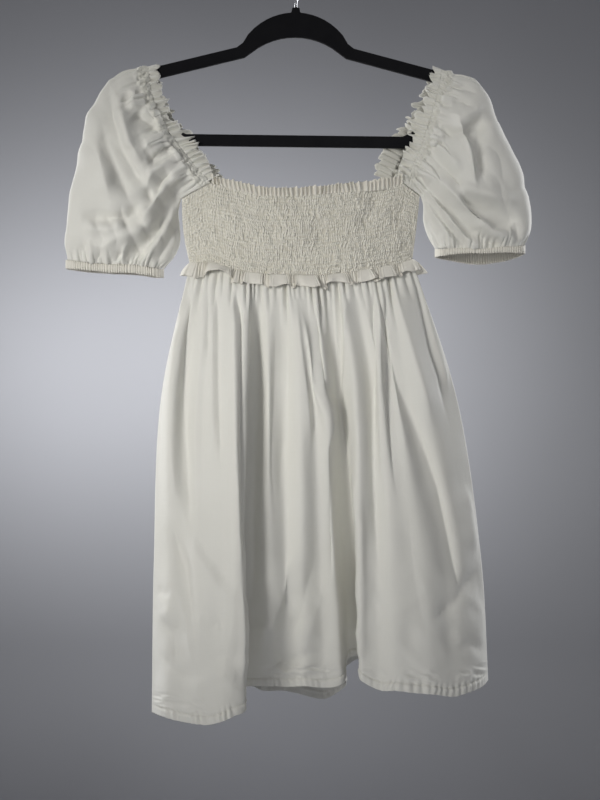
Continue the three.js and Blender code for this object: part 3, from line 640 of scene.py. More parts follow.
def skirt_face(which, u, f):
    """Places of the skirt's cloth at shares u across and f down, as [row, column]."""
    spots = []
    for seam, mid_x, mid_out, low_x, low_out, hem_x, hem_out, hem_z in FOLDS[which]:
        top = float(waist_z(np.array(seam)))
        at = [0] + [(z - top) / (hem_z - top) for z in (MID_LEVEL, LOW_LEVEL)] + [1]
        x = through(at, [seam, mid_x, low_x, hem_x])(f)
        out = through(at, [lens((seam - LEFT) / (RIGHT - LEFT)), mid_out, low_out, hem_out])(f)
        spots.append(np.stack([x, -SIDES[which] * (SKIRT_OUT + out), lerp(top, hem_z, f)], -1))
    return curve_at(np.stack(spots, 1), u)


def waist_line(which, u):
    """x at the waist seam, at shares u across."""
    return skirt_face(which, u, np.array([0.0, 0.5]))[0, :, 0]


# x at the waist seam, how deep, how wide, how far down each gather runs and how far it drifts
GATHERS = {
    "front": [
        (-127, 3.4, 2, 0.14, 0), (-120, 2.4, 1.8, 0.08, 0), (-112, 4.6, 2, 0.16, 0),
        (-104, 3, 1.5, 0.07, 0), (-94, 3.6, 1.8, 0.12, 0), (-87, 2.6, 1.5, 0.07, 0), (-77, 4, 1.6, 0.1, 6),
        (-61, 5, 1.3, 0.09, 0), (-55, 6.5, 1.2, 0.12, 0), (-50, 4, 1.2, 0.07, 0), (-43, 4.6, 1.6, 0.12, 0),
        (-33, 3.4, 1.6, 0.1, 0), (-24, 3, 1.5, 0.07, 0), (-14, 8, 1.5, 0.13, 0), (-8, 2.6, 1.2, 0.06, 0),
        (-3, 4.6, 1.1, 0.06, 0), (4, 3, 1.4, 0.06, 0), (11, 2.8, 1.3, 0.06, 0), (16.5, 6.5, 1.3, 0.11, 2),
        (20.5, 4, 1.1, 0.07, 0), (25, 9, 1.4, 0.16, -3), (33, 4.4, 1.5, 0.09, 0), (41, 3, 1.4, 0.07, 0),
        (48, 5.5, 1.8, 0.28, 4), (57, 5, 1.3, 0.08, 0), (66, 3.4, 1.4, 0.07, 0), (75, 3.4, 1.6, 0.11, 0),
        (83.5, 4.6, 1.2, 0.07, 0), (94, 4.6, 1.5, 0.3, 2), (101, 2.2, 1.3, 0.06, 0),
        (109.5, 8, 1.7, 0.16, 0), (118, 3, 1.5, 0.08, 0), (128, 3.4, 1.8, 0.1, 0), (137, 3.2, 1.6, 0.08, 0),
    ],
    "back": [
        (-121, 5, 2.4, 0.34, -6), (-110, 6, 2.2, 0.4, -6), (-101, 3, 1.6, 0.12, 0), (-92, 4.6, 2, 0.22, 0),
        (-83, 6.4, 2, 0.45, -2), (-74, 3, 1.6, 0.12, 0), (-66, 5.6, 1.8, 0.24, 0), (-57, 7, 2.2, 0.35, 2),
        (-47, 3, 1.7, 0.14, 0), (-38, 6, 2, 0.4, 0), (-29, 3.4, 1.6, 0.12, 0), (-20, 5.6, 2, 0.22, 1),
        (-10, 7, 2.2, 0.5, 1), (-2, 3, 1.5, 0.1, 0), (7, 5.6, 2, 0.26, 0), (17, 4, 1.8, 0.16, 0),
        (27, 7, 2.2, 0.42, 2), (36, 3, 1.6, 0.12, 0), (45, 5.6, 2, 0.28, 2), (56, 4, 1.8, 0.14, 0),
        (66, 7, 2.2, 0.46, 4), (76, 3, 1.6, 0.12, 0), (86, 5.6, 2, 0.24, 4), (97, 4, 1.8, 0.16, 4),
        (107, 6, 2.2, 0.4, 8), (118, 3, 1.8, 0.14, 4), (129, 5, 2.2, 0.34, 16),
    ],
}

# wide, skew, deep, taper, then x and z of the places along each crease
SKIRT_CREASES = {
    "front": [
        # left lobe
        (8, -0.45, -6.5, 0.12, -131, -398, -135, -460, -139, -530, -139, -590, -136, -650, -131, -692),
        (13, -0.2, -5.6, 0.3, -135, -664, -129, -700, -105, -742, -80, -768, -64, -781),
        (10, 0.35, 4, 0.2, -141, -420, -150, -520, -152, -600, -147, -670),
        (12, 0, 5, 0.3, -146, -650, -122, -722, -94, -766, -72, -792),
        (9, 0.3, -6, 0.3, -158, -684, -136, -752, -122, -842),
        (10, 0, 4.6, 0.3, -144, -770, -132, -815, -128, -856),
        (8, -0.3, -4.2, 0.3, -168, -800, -152, -832, -146, -868), (8, 0, 3.4, 0.3, -160, -790, -144, -818),
        (8, 0, -3.2, 0.3, -108, -858, -86, -852, -66, -862),
        (5, 0, -3.4, 0.25, -109, -400, -108, -440, -108, -492),
        (6, -0.4, -4, 0.15, -98, -402, -97, -470, -96, -545, -93, -620),
        (6, 0.3, 3, 0.2, -103, -420, -102, -500, -101, -590),
        (5, 0.5, 4, 0.15, -80, -402, -74, -448, -72.5, -520, -72, -600, -69, -686, -67, -760),
        (6, -0.5, -6, 0.12, -76, -397, -69, -448, -68, -520, -67.5, -576, -65.3, -686, -64, -735),
        (4, 0.4, 3.5, 0.2, -66, -760, -65, -830, -66, -885),
        (5, 0.3, -2.6, 0.3, -152, -700, -138, -726, -128, -760),
        (5, 0, 2.6, 0.3, -138, -800, -122, -812, -108, -806),
        (4, 0, -2.6, 0.3, -166, -852, -148, -872, -122, -880),
        (4, 0, -2.4, 0.3, -112, -820, -96, -812, -84, -822),
        (4, 0, 2, 0.3, -100, -880, -82, -874, -68, -882),
        (4, 0, -2.4, 0.3, -172, -770, -160, -778, -152, -772),
        # middle
        (9, -0.5, -6, 0.12, -46, -400, -49.4, -466, -53, -576, -55, -662, -56, -800),
        (8, 0.2, -3.4, 0.3, -26, -440, -24, -520, -28, -620, -26, -700),
        (8, 0, -4, 0.25, -13, -440, -12, -500, -14, -580, -20, -660),
        (5, 0.3, 4, 0.2, 0, -420, 4, -470, 12, -540, 17, -600),
        (7, -0.3, 6.5, 0.2, 6, -430, 15, -480, 23, -522, 37, -556, 43, -610),
        (6, 0.35, -5, 0.2, 25, -430, 28, -480, 36, -518, 48, -550),
        (7, 0.3, -5, 0.2, 44, -560, 43, -662, 42, -760),
        (18, 0.3, 7, 0.3, 3, -716, -14, -766, -34, -815, -49, -852),
        (13, 0.3, -3.4, 0.3, 22, -736, 8, -790, -10, -836), (14, 0, 3, 0.3, 36, -760, 22, -800, 12, -840),
        (4, 0, -3, 0.3, -44, -872, -12, -858, 18, -850, 40, -846),
        (4, 0, 2.4, 0.3, -30, -880, 2, -868, 28, -860), (3, 0, 3.5, 0.2, 60, -410, 60.5, -470, 61, -540),
        # right panel
        (6, 0.4, 5, 0.15, 59, -520, 63, -566, 71, -637, 79, -693, 80, -790, 79, -880),
        (4, 0.4, -4, 0.12, 94.5, -400, 94.5, -480, 94, -560, 95, -640, 99, -730),
        (5, 0.3, 3.6, 0.15, 102, -404, 102, -480, 104, -570, 108, -650),
        (5, -0.5, -5.5, 0.3, 109, -385, 109, -450, 110, -500, 113, -576, 121, -650),
        (10, 0.4, -7.5, 0.15, 110, -455, 128, -520, 152, -586, 174, -650, 190, -722, 203, -780),
        (10, 0, 6, 0.25, 117, -400, 132, -450, 146, -500, 166, -572),
        (5, -0.4, -4.6, 0.3, 143, -375, 151, -418, 163, -479, 173, -513, 183, -560),
        (8, 0.2, 4, 0.2, 160, -410, 174, -470, 186, -530), (9, 0, -5, 0.3, 226, -740, 196, -788, 162, -812),
        (13, 0, 4, 0.3, 206, -640, 216, -730), (14, 0, -2, 0.3, 134, -660, 144, -760, 160, -840),
        (7, 0, -2.6, 0.3, 196, -846, 214, -838, 232, -848),
    ],
    "back": [
        (11, 0.2, -5, 0.2, -120, -420, -124, -560, -104, -680, -80, -760),
        (12, 0, 5, 0.3, -60, -500, -40, -640, -36, -760), (12, 0.2, -5, 0.3, 10, -440, 2, -560, 20, -700),
        (14, 0, 5, 0.3, 60, -560, 88, -700, 96, -820),
        (12, 0.2, -5.5, 0.2, 110, -440, 140, -580, 170, -740), (10, 0, 4, 0.3, -150, -660, -130, -800),
        (9, 0, -4, 0.3, -94, -700, -70, -790, -60, -860), (9, 0, 4, 0.3, 120, -700, 146, -800),
        (6, 0, -2.4, 0.3, -20, -872, 20, -864, 60, -858),
    ],
}


CREASE_DEEP = 1.1       # shares of the depths in the two tables
GATHER_DEEP = 0.88
GATHERED_DARK = 9       # depth of a gather that is in full shade
WRINKLED = 22           # width of the wrinkled strip over the hem


def hem_relief(to_edge, along, seed):
    """The turned hem stands a little proud, is pinched at its stitching, and puckers."""
    turned = 0.7 * ease((HEM + 0.6 - to_edge) / 1.2)
    pinch = -1.3 * bell((to_edge - HEM + 0.6) / 1.2)
    ripple = np.sin(along / 1.4 + 3.2 * uneven(along, to_edge, 19, 50, seed) + 0.25 * to_edge)
    near = bell((to_edge - 6) / 7)
    return turned + pinch + 1.35 * near * ripple * (0.6 + 0.6 * chance(along, 18, seed + 1))


def make_skirt(which, columns, levels, seed):
    side = SIDES[which]
    u = np.linspace(0, 1, columns + 1)
    places = skirt_face(which, u, levels)
    f = levels[:, None]
    seam_x = waist_line(which, u)
    x, z = seen(places)
    # the creases, and the gathers under the waist seam
    height = CREASE_DEEP * creases(SKIRT_CREASES[which], x, z) * ease((f - 0.01) / 0.08)
    # sunk paints shade down in each gather, in full where the gather is GATHERED_DARK deep
    sunk = 0 * height
    for gather_x, deep, wide, reach, drift in GATHERS[which]:
        fade = np.minimum(1, 0.3 + f / 0.04) * np.clip(1 - f / reach, 0, 1) ** 0.9
        away = np.abs(seam_x - gather_x - drift * f) / (wide * (1 + 3.0 * f))
        trough = np.exp(-away ** 1.3)
        height = height - GATHER_DEEP * deep * fade * (trough - 0.35 * bell(away - 2.2))
        sunk = np.maximum(sunk, deep / GATHERED_DARK * fade * trough)
    down, along = length_along(places), length_along(places, 1)
    to_edge = down[-1] - down
    crumple = 1.5 * uneven(x, z, 40, 66, seed) + 0.5 * uneven(x, z, 17, 34, seed + 1)
    height = height + crumple * ease(f / 0.3) + hem_relief(to_edge, along, seed + 2)
    # the low part of the cloth is more crumpled than the rest
    crisp = sharp_uneven(x + 0.6 * z, z - 0.5 * x, 24, 30, seed + 4)
    height = height + crisp * ease((f - 0.62) / 0.25)
    # and so is a strip over the hem, in short level wrinkles
    wrinkle = sharp_uneven(x, z + 0.15 * x, 17, 4.5, seed + 5)
    over_hem = ease((to_edge - HEM) / 2.5) * ease((HEM + WRINKLED - to_edge) / 12)
    height = height + 1.2 * wrinkle * over_hem * ease(0.5 + chance(x, 30, seed + 6))
    places = places + outward(places, -side) * (height * inside(u, 0.02))[..., None]
    # painted shade along the pinched groove at the hem's stitching
    pinch_shade = bell(to_edge - HEM + 0.6)
    cloth(f"skirt_{which}", places, u, levels, flat_size(places, SKIRT_FLAT), COTTON, POPLIN,
          1 - 0.6 * sunk - 0.45 * pinch_shade)
    # a line of stitches along the turned hem, lying on the cloth
    seam_up = HEM - STITCH_LINE
    line = np.stack([[np.interp(seam_up, to_edge[::-1, i], places[::-1, i, k]) for k in range(3)]
                     for i in range(len(u))])
    row = np.argmin(np.abs(to_edge[:, len(u) // 2] - seam_up))
    n = outward(places, -side)[row]
    stitches(f"hem_stitches_{which}", line + n * POPLIN / 2, n, *STITCH)


make_skirt("front", 325, steps((26, 0.10), (26, 0.30), (36, 0.72), (24, 0.94), (18, 0.9765), (12, 1)), 41)
make_skirt("back", 220, steps((18, 0.10), (16, 0.30), (26, 0.72), (17, 0.94), (13, 0.9765), (8, 1)), 57)

# The frill over the waist seam: x of each pinch and, for the panel after it, how far it swings
# out, how tall it is, how much taller its right side is, how much further out that side swings,
# and how much lower its middle is

WAIST_PANELS = {
    "front": [
        (-130, 5, 1.1, 0.1, -0.3, 0), (-116, 4, 1.3, 0.1, 0, 0), (-109, 9, 1.2, -0.1, 0.6, 0.55),
        (-75, 6, 1.2, 0.1, -0.6, 0), (-65.6, 5, 0.95, 0.12, 0.9, 0), (-39, 3, 1.15, 0, 0, 0),
        (-34, 5, 1, -0.14, -0.7, 0), (-6.6, 3, 1.15, 0, 0, 0), (-3, 5, 0.95, 0.08, 0.8, -0.15),
        (27, 4, 1.25, 0, 0, 0), (35.5, 6, 1.1, 0.12, -0.8, 0.3), (63, 4, 1.2, 0, 0, 0),
        (70.5, 6, 1.05, -0.24, 0.9, 0.1), (92, 4, 1.15, 0, 0, 0), (98, 6, 1.1, -0.08, -0.7, 0.05),
        (118.6, 3, 1.15, 0, 0, 0), (122, 5, 1, -0.1, 0.4, 0.1), (141, 4, 1, 0, 0, 0),
    ],
    "back": [
        (-130, 8, 1, 0.1, 0.4, 0), (-112, 9, 1.1, 0.15, -0.5, 0.2), (-90, 4, 1.15, 0, 0, 0),
        (-82, 9, 1.05, 0.1, 0.6, 0), (-52, 8, 1, 0.1, -0.7, 0.1), (-22, 4, 1.15, 0, 0, 0),
        (-14, 8, 1, -0.12, 0.7, 0.2), (16, 9, 1.05, 0.1, -0.6, 0), (40, 4, 1.1, 0, 0, 0),
        (48, 8, 1.05, -0.1, 0.7, 0.1), (80, 9, 1, 0.1, -0.6, 0.3), (104, 8, 1.05, 0.1, 0.5, 0),
        (141, 4, 1, 0, 0, 0),
    ],
}
WAIST_FRILL = 14        # the frill's height
WIDE_PANEL = 14         # from this width on a panel swings out in full


def make_waist_frill(which, columns, rows, seed):
    u = np.linspace(0, 1, columns + 1)
    t = np.linspace(0, 1, rows + 1)[:, None]
    seam_x = waist_line(which, u)
    pinch_x, swings, talls, slants, yaws, arches = np.array(WAIST_PANELS[which], float).T
    last = len(pinch_x) - 2
    i = np.clip(np.searchsorted(pinch_x, seam_x, side="right") - 1, 0, last)
    wide = pinch_x[i + 1] - pinch_x[i]
    q = np.clip((seam_x - pinch_x[i]) / wide, 0, 1)
    to_pinch = np.where(i == 0, 1 - q, np.where(i == last, q, np.minimum(q, 1 - q))) * wide
    lift = (1 - np.exp(-((to_pinch / 3.2) ** 1.6))) * (1 + yaws[i] * (q - 0.5))
    swing = swings[i] * lift * np.minimum(1, wide / WIDE_PANEL)
    jag = chance(seam_x, 1.5, seed + 4) * bell(to_pinch / 4)
    tall = WAIST_FRILL * talls[i] * (1 + slants[i] * (2 * q - 1) + 0.13 * chance(seam_x, 8, seed)
                                     - arches[i] * np.sin(np.pi * q) ** 0.7 + 0.3 * jag
                                     - 0.12 * bell(to_pinch / 2.2))
    tall = np.convolve(np.pad(tall, 1, mode="edge"), np.ones(3) / 3, mode="valid")
    # the skirt's own face under the frill, from places on a few of its levels
    ticks = np.array([0, 0.014, 0.03, 0.045])
    base = skirt_face(which, u, ticks)
    f = np.clip(t * tall / SKIRT_LONG, 0, 0.0449)
    k = np.clip(np.searchsorted(ticks, f, side="right") - 1, 0, 2)
    share = ((f - ticks[k]) / (ticks[k + 1] - ticks[k]))[..., None]
    column = np.arange(len(u))[None, :]
    places = lerp(base[k, column], base[k + 1, column], share)
    tangent = np.gradient(places, axis=1)
    n = unit(np.stack([tangent[..., 1], -tangent[..., 0], 0 * tangent[..., 0]], -1) * SIDES[which])
    n[:, 0], n[:, -1] = (-1, 0, 0), (1, 0, 0)
    fine = np.sin(2 * np.pi * seam_x / 2.4 + 2.5 * chance(seam_x, 7, seed + 1))
    curl = 2.4 * ease((t - 0.6) / 0.4) * chance(seam_x, 9, seed + 3)
    off = 1.4 + 1.0 * t + swing * (0.05 + 0.95 * np.sin(np.pi / 2 * t) ** 0.8)
    off = off + fine * bell(to_pinch / 5.5) * (1.5 - 0.4 * t) + 2.2 * chance(seam_x, 5.5, seed + 2) * t + curl
    places = places + n * off[..., None]
    tuck = np.minimum(0.17 * wide, 3.4) * np.sin(2 * np.pi * q)
    places[..., 0] -= tuck * np.sqrt(t) * inside(u, 0.03)
    places[..., 2] += 0.8 * (1 - t)
    # the last figure paints shade at the pinches, where the frill dives in
    cloth(f"waist_frill_{which}", places, u, t[:, 0], flat_size(places, WAIST_FRILL_FLAT), FRILL_COTTON,
          FRILL_CLOTH, 0.25 + 0.75 * lift + 0 * t)


make_waist_frill("front", 620, 12, 71)
make_waist_frill("back", 440, 9, 83)

# The heading over the neckline

NECK_FRILL = 10         # its height
NECK_INSET = ARMHOLE + 0.004    # share of the bodice's width that it leaves free at either side


def make_neck_frill(which, pleats, seed):
    s = np.linspace(NECK_INSET, 1 - NECK_INSET, 11 * pleats + 1)
    t = np.linspace(1, 0, 11)
    up = t[:, None]
    base = bodice_face(which, s, np.array([0.0, 0.1]))[0]
    along = (s - NECK_INSET) / (1 - 2 * NECK_INSET) * pleats
    turn = 2 * np.pi * along + 2.6 * chance(along, 2.3, seed)
    knife = np.arcsin(0.97 * np.sin(turn)) / 1.33
    deep = 1.9 + 0.9 * chance(along, 1.3, seed + 1)
    tall = NECK_FRILL * (1 + 0.13 * chance(along, 0.9, seed + 2) + 0.06 * np.cos(turn))
    lean = 2.5 + 1.6 * chance(along, 5, seed + 3)
    slope = 2.6 * chance(along, 2.6, seed + 4)
    x = base[:, 0] + (1.1 * np.cos(turn + 0.4) + slope) * up * inside(along / pleats, 1 / pleats)
    out = up * lean + deep * knife * (0.3 + 0.7 * np.sin(np.pi * np.clip(up, 0, 0.6)))
    places = np.stack(np.broadcast_arrays(x, base[:, 1] - SIDES[which] * out,
                                          base[:, 2] - 1.2 + (tall + 1.2) * up), -1)
    # the last figure paints shade on the folds of the pleats that turn in
    cloth(f"neck_frill_{which}", places, s, 1 - t, flat_size(places, NARROW_FRILL_FLAT), FRILL_COTTON,
          FRILL_CLOTH, 0.5 + 0.5 * knife + 0 * up)


make_neck_frill("front", 45, 91)
make_neck_frill("back", 40, 97)

# The sleeves

# Which way round the front goes, how sharp the creases are, and (x, out, z) along each edge
SLEEVES = {
    "left": {
        "turn": -1,
        "crisp": 2,
        "ridge": [
            (-179, 0, -134.6), (-205.6, 0, -138.9), (-217.8, 0, -144.3), (-227.5, 0, -151.4),
            (-242.4, 0, -172.9), (-254, 0, -192.3), (-261.8, 0, -223.5), (-271.4, 0, -266.4),
            (-277.6, 0, -303.3), (-281.2, 0, -332.5), (-283.2, 0, -357), (-281.2, 0, -368.8),
        ],
        "neck_front": [
            (-179, 0, -134.6), (-178.8, 4.4, -134.9), (-178.2, 5.6, -150), (-176.3, 6.6, -165),
            (-169, 8, -187), (-159, 9, -207.5), (-144, 10, -229), (-129, 10.5, -247), (-116, 10.5, -264),
            (-104.3, 10, -277),
        ],
        "neck_back": [
            (-179, 0, -134.6), (-178.8, 4.4, -134.9), (-178, 6, -150), (-175, 8, -166), (-166, 10, -190),
            (-155, 11, -211), (-140, 11, -232), (-125, 10.5, -249), (-111, 10, -264), (-99.3, 9.5, -275.5),
        ],
        "underarm": [
            (-141.1, 0, -295.2), (-144, 0, -311), (-142.2, 0, -333), (-142, 0, -347), (-147, 0, -362),
            (-162, 0, -380.5),
        ],
        "cuff_front": [
            (-281.2, 0, -368.8), (-279, 5, -370), (-232, 8, -375.5), (-198, 8, -376.5), (-169, 5.5, -380.5),
            (-162, 0, -380.5),
        ],
        "cuff_back": [
            (-281.2, 0, -368.8), (-279, 5, -370), (-232, 8, -374), (-198, 8, -375.5), (-169, 5.5, -380),
            (-162, 0, -380.5),
        ],
    },
    "right": {
        "turn": 1,
        "crisp": 1.5,
        "ridge": [
            (176.3, 0, -138.4), (187.3, 0, -141.2), (206.7, 0, -145.9), (219.4, 0, -152.6),
            (231.9, 0, -173), (241.7, 0, -194.3), (255.2, 0, -219.4), (266.9, 0, -244.9),
            (276.7, 0, -270.1), (282.4, 0, -295.5), (286.5, 0, -318.9), (282.4, 0, -338.3),
            (278.8, 0, -351.2),
        ],
        "neck_front": [
            (176.3, 0, -138.4), (176, 4.4, -138.7), (174, 5.6, -151), (171, 6.6, -165), (166.5, 8, -183),
            (161.5, 9, -201), (154.5, 10, -223), (147, 10.5, -243), (138, 10.5, -262), (129.8, 10, -277),
        ],
        "neck_back": [
            (176.3, 0, -138.4), (176, 4.4, -138.7), (173.5, 6, -153), (168, 8, -175), (157, 10, -196),
            (144.5, 11, -214), (132.5, 11, -235), (120.5, 10.5, -257), (112.3, 10, -274.4),
        ],
        "underarm": [
            (151.6, 0, -291.6), (154.8, 0, -303), (155, 0, -323), (161, 0, -342), (169, 0, -355.5),
        ],
        "cuff_front": [
            (278.8, 0, -351.2), (272, 12, -354.5), (246.5, 18, -356.5), (221.5, 19, -359),
            (204.5, 18, -358), (175, 11, -357.5), (169, 0, -355.5),
        ],
        "cuff_back": [
            (278.8, 0, -351.2), (274, 12, -352.5), (250, 18, -356), (221.5, 19, -357.5), (204.5, 18, -356),
            (176, 11, -354), (169, 0, -355.5),
        ],
    },
}
PUFF = {"front": 24, "back": 22}
TURN_ROW = 0.28         # share of the way from neck to cuff where the armhole ends
DEEPEST_CREASE = 13     # creases that cross add up to this at most

# wide, skew, deep, taper, then x and z of the places along each crease
SLEEVE_CREASES = {
    ("left", "front"): [
        (8, 0.35, -9, 0.2, -230, -160, -227, -178, -223, -200, -213, -233, -198, -262, -184, -278),
        (9, 0, 7, 0.3, -215, -160, -211, -196, -203, -226, -188, -252),
        (8, 0, -5, 0.3, -240, -196, -232, -230, -216, -268, -203, -300),
        (10, 0, 4, 0.3, -246, -226, -236, -262, -226, -300), (6, 0, -6, 0.3, -206, -158, -212, -192),
        (6, 0, 4.5, 0.3, -196, -160, -200, -186), (6, 0.2, -8, 0.2, -198, -190, -186, -198, -170, -208),
        (7, 0, 7, 0.2, -186, -182, -172, -194, -162, -204),
        (7, 0.2, -9, 0.2, -184, -246, -168, -242, -150, -230),
        (8, 0, 8, 0.2, -186, -232, -168, -224, -156, -216),
        (6, 0, 6, 0.25, -184, -282, -176, -264, -160, -252, -146, -246),
        (6, 0, -6, 0.25, -172, -290, -164, -272, -152, -262),
        (7, 0.3, -6.5, 0.25, -268, -313, -236, -318, -208, -316, -188, -300),
        (9, -0.2, 6, 0.25, -262, -330, -232, -334, -206, -326),
        (9, 0.2, 6.5, 0.25, -250, -366, -222, -346, -184, -330, -158, -308),
        (7, 0.3, -13, 0.12, -122, -270, -140, -286, -156, -304, -174, -338, -208, -377),
        (8, 0, 9, 0.2, -132, -262, -158, -280, -178, -306, -190, -330),
        (7, -0.2, 6, 0.2, -136, -296, -152, -322, -172, -352, -190, -378),
        (6, 0, -6.5, 0.2, -130, -296, -146, -328, -160, -354, -176, -378),
        (6, 0, -5, 0.3, -184, -278, -177, -296, -184, -314),
        (4, 0.2, -5, 0.3, -262, -346, -256, -362, -255, -377), (4, 0, 3.5, 0.3, -252, -342, -249, -377),
        (4, 0.2, -5, 0.3, -238, -352, -244, -377), (4, 0, -4, 0.3, -212, -358, -226, -378),
        (4, 0, 4, 0.3, -206, -348, -218, -378), (4, 0, -4.5, 0.3, -186, -350, -196, -378),
    ],
    ("left", "back"): [
        (9, 0.3, -8, 0.2, -222, -172, -218, -230, -196, -280), (9, 0, 6, 0.3, -238, -200, -232, -270),
        (9, 0.3, -9, 0.2, -130, -276, -166, -310, -204, -368), (9, 0, 6, 0.3, -170, -240, -190, -300),
        (8, 0, -6, 0.3, -262, -300, -214, -318), (4, 0, -4.5, 0.3, -250, -345, -252, -375),
        (4, 0, -4.5, 0.3, -220, -350, -228, -375), (4, 0, -4.5, 0.3, -180, -345, -194, -378),
    ],
    ("right", "front"): [
        (5, 0.3, -13, 0.1, 138, -258, 158, -279, 180, -301, 214, -333, 254, -357),
        (6, -0.2, 12, 0.12, 144, -256, 172, -274, 206, -306, 240, -336, 268, -349),
        (5, 0.3, -12, 0.12, 142, -272, 164, -299, 186, -329, 208, -357),
        (4, 0, 9, 0.12, 141, -264, 170, -297, 200, -336, 218, -354),
        (5, 0, 7, 0.2, 152, -290, 172, -318, 196, -354), (5, 0, -9, 0.2, 154, -302, 170, -328, 188, -357),
        (4, 0, -6, 0.2, 158, -318, 166, -338, 172, -356),
        (13, 0.4, -12, 0.22, 194, -289, 214, -300, 236, -311, 258, -320, 274, -316),
        (8, 0, 9, 0.3, 188, -274, 220, -288, 250, -295, 276, -300),
        (8, 0, 8, 0.3, 212, -322, 240, -338, 264, -342),
        (6, 0.35, 11, 0.25, 194, -192, 204, -216, 212, -243, 218, -278),
        (7, 0, -9, 0.3, 226, -186, 223, -212, 221, -246, 228, -272),
        (6, 0.3, -9, 0.2, 176, -202, 190, -213, 208, -214, 230, -198),
        (7, 0, 7, 0.3, 184, -188, 200, -196, 218, -188, 230, -176),
        (5, 0, -6, 0.3, 184, -164, 204, -158, 222, -168), (5, 0, -5, 0.3, 188, -176, 204, -176, 214, -184),
        (7, 0.2, -8, 0.25, 152, -230, 176, -250, 194, -268, 206, -290),
        (6, 0, 6, 0.3, 162, -220, 184, -240, 204, -264), (5, 0.2, -8, 0.3, 156, -222, 168, -230, 182, -226),
        (4, 0, 5, 0.3, 160, -214, 172, -222, 184, -216), (4, 0, -6, 0.3, 268, -322, 271, -352),
        (4, 0, 5.5, 0.3, 261, -326, 262, -352), (4, 0, -5.5, 0.3, 246, -340, 240, -357),
        (4, 0, -5, 0.3, 224, -340, 228, -357), (5, 0, 5, 0.3, 176, -334, 184, -357),
    ],
    ("right", "back"): [
        (8, 0.3, -9, 0.2, 140, -268, 184, -304, 226, -350), (8, 0, 7, 0.3, 150, -256, 196, -286, 250, -330),
        (9, 0, -8, 0.3, 206, -190, 214, -250), (9, 0, 7, 0.3, 232, -214, 240, -280),
        (9, 0, -6, 0.3, 200, -300, 262, -318), (4, 0, -4.5, 0.3, 258, -328, 262, -350),
        (4, 0, -4.5, 0.3, 214, -334, 208, -356),
    ],
}


def sleeve_half(far, which, b, k):
    """Places of one half of a sleeve, b from ridge to inner edge, k from neck to cuff."""
    sleeve, side = SLEEVES[far], SIDES[which]
    neck, cuff = edge(sleeve["neck_" + which], side), edge(sleeve["cuff_" + which], side)
    ridge, underarm = edge(sleeve["ridge"]), edge(sleeve["underarm"])
    ends = np.array([0.0, 1.0])
    neck_ends, cuff_ends = neck(ends), cuff(ends)
    # the inner edge follows the bodice's side down to the underarm, and then the underarm seam
    q = np.clip(k / TURN_ROW, 0, 1)[:, None]
    seam = lerp(neck_ends[1], underarm(ends)[0], q)
    q = q[:, 0]
    out = SIDE_OUT + lens(ARMHOLE * (1 - q)) * (1 - 0.2 * q)
    seam[:, 1] = lerp(-side * out, 0.0, ease((q - 0.75) / 0.25))
    low = underarm(np.clip((k - TURN_ROW) / (1 - TURN_ROW), 0, 1))
    inner = np.where((k >= TURN_ROW)[:, None], low, seam)
    # a face blended from its four edges, less the corners that they share
    b3, k3 = b[None, :, None], k[:, None, None]
    p = (neck(b)[None] * (1 - k3) + cuff(b)[None] * k3
         + ridge(k)[:, None] * (1 - b3) + inner[:, None] * b3
         - neck_ends[0] * (1 - b3) * (1 - k3) - cuff_ends[0] * (1 - b3) * k3
         - neck_ends[1] * b3 * (1 - k3) - cuff_ends[1] * b3 * k3)
    # puffed out, and creased as it is seen from the front
    b2, k2 = b[None, :], k[:, None]
    over, down = np.sin(np.pi * b2).clip(0), np.sin(np.pi * k2).clip(0)
    puff = PUFF[which] * over ** 0.65 * np.sin(np.pi * k2 ** 0.8).clip(0) ** 0.8
    x, z = seen(np.stack([p[..., 0], p[..., 1] - side * puff, p[..., 2]], -1))
    fold = sleeve["crisp"] * creases(SLEEVE_CREASES[far, which], x, z)
    fold = DEEPEST_CREASE * np.tanh(fold / DEEPEST_CREASE)
    p[..., 1] -= side * (puff + fold * over ** 0.5 * down ** 0.3)
    return p


def sleeve_places(far, a, k):
    """Places of a whole sleeve: a from -1 at the front's inner edge to 1 at the back's."""
    front = sleeve_half(far, "front", -a[a < 0], k)
    back = sleeve_half(far, "back", a[a >= 0], k)
    return np.concatenate([front, back], axis=1)


def both_ways(half):
    """Stations from the end of one half over the middle to the end of the other."""
    return np.concatenate([-half[:0:-1], half])


BAND = 16               # width of the shirred band round a sleeve's neck edge
BAND_ROWS = 4           # of elastic in it
BAND_PUCKER = 3.6       # width of one pucker of it


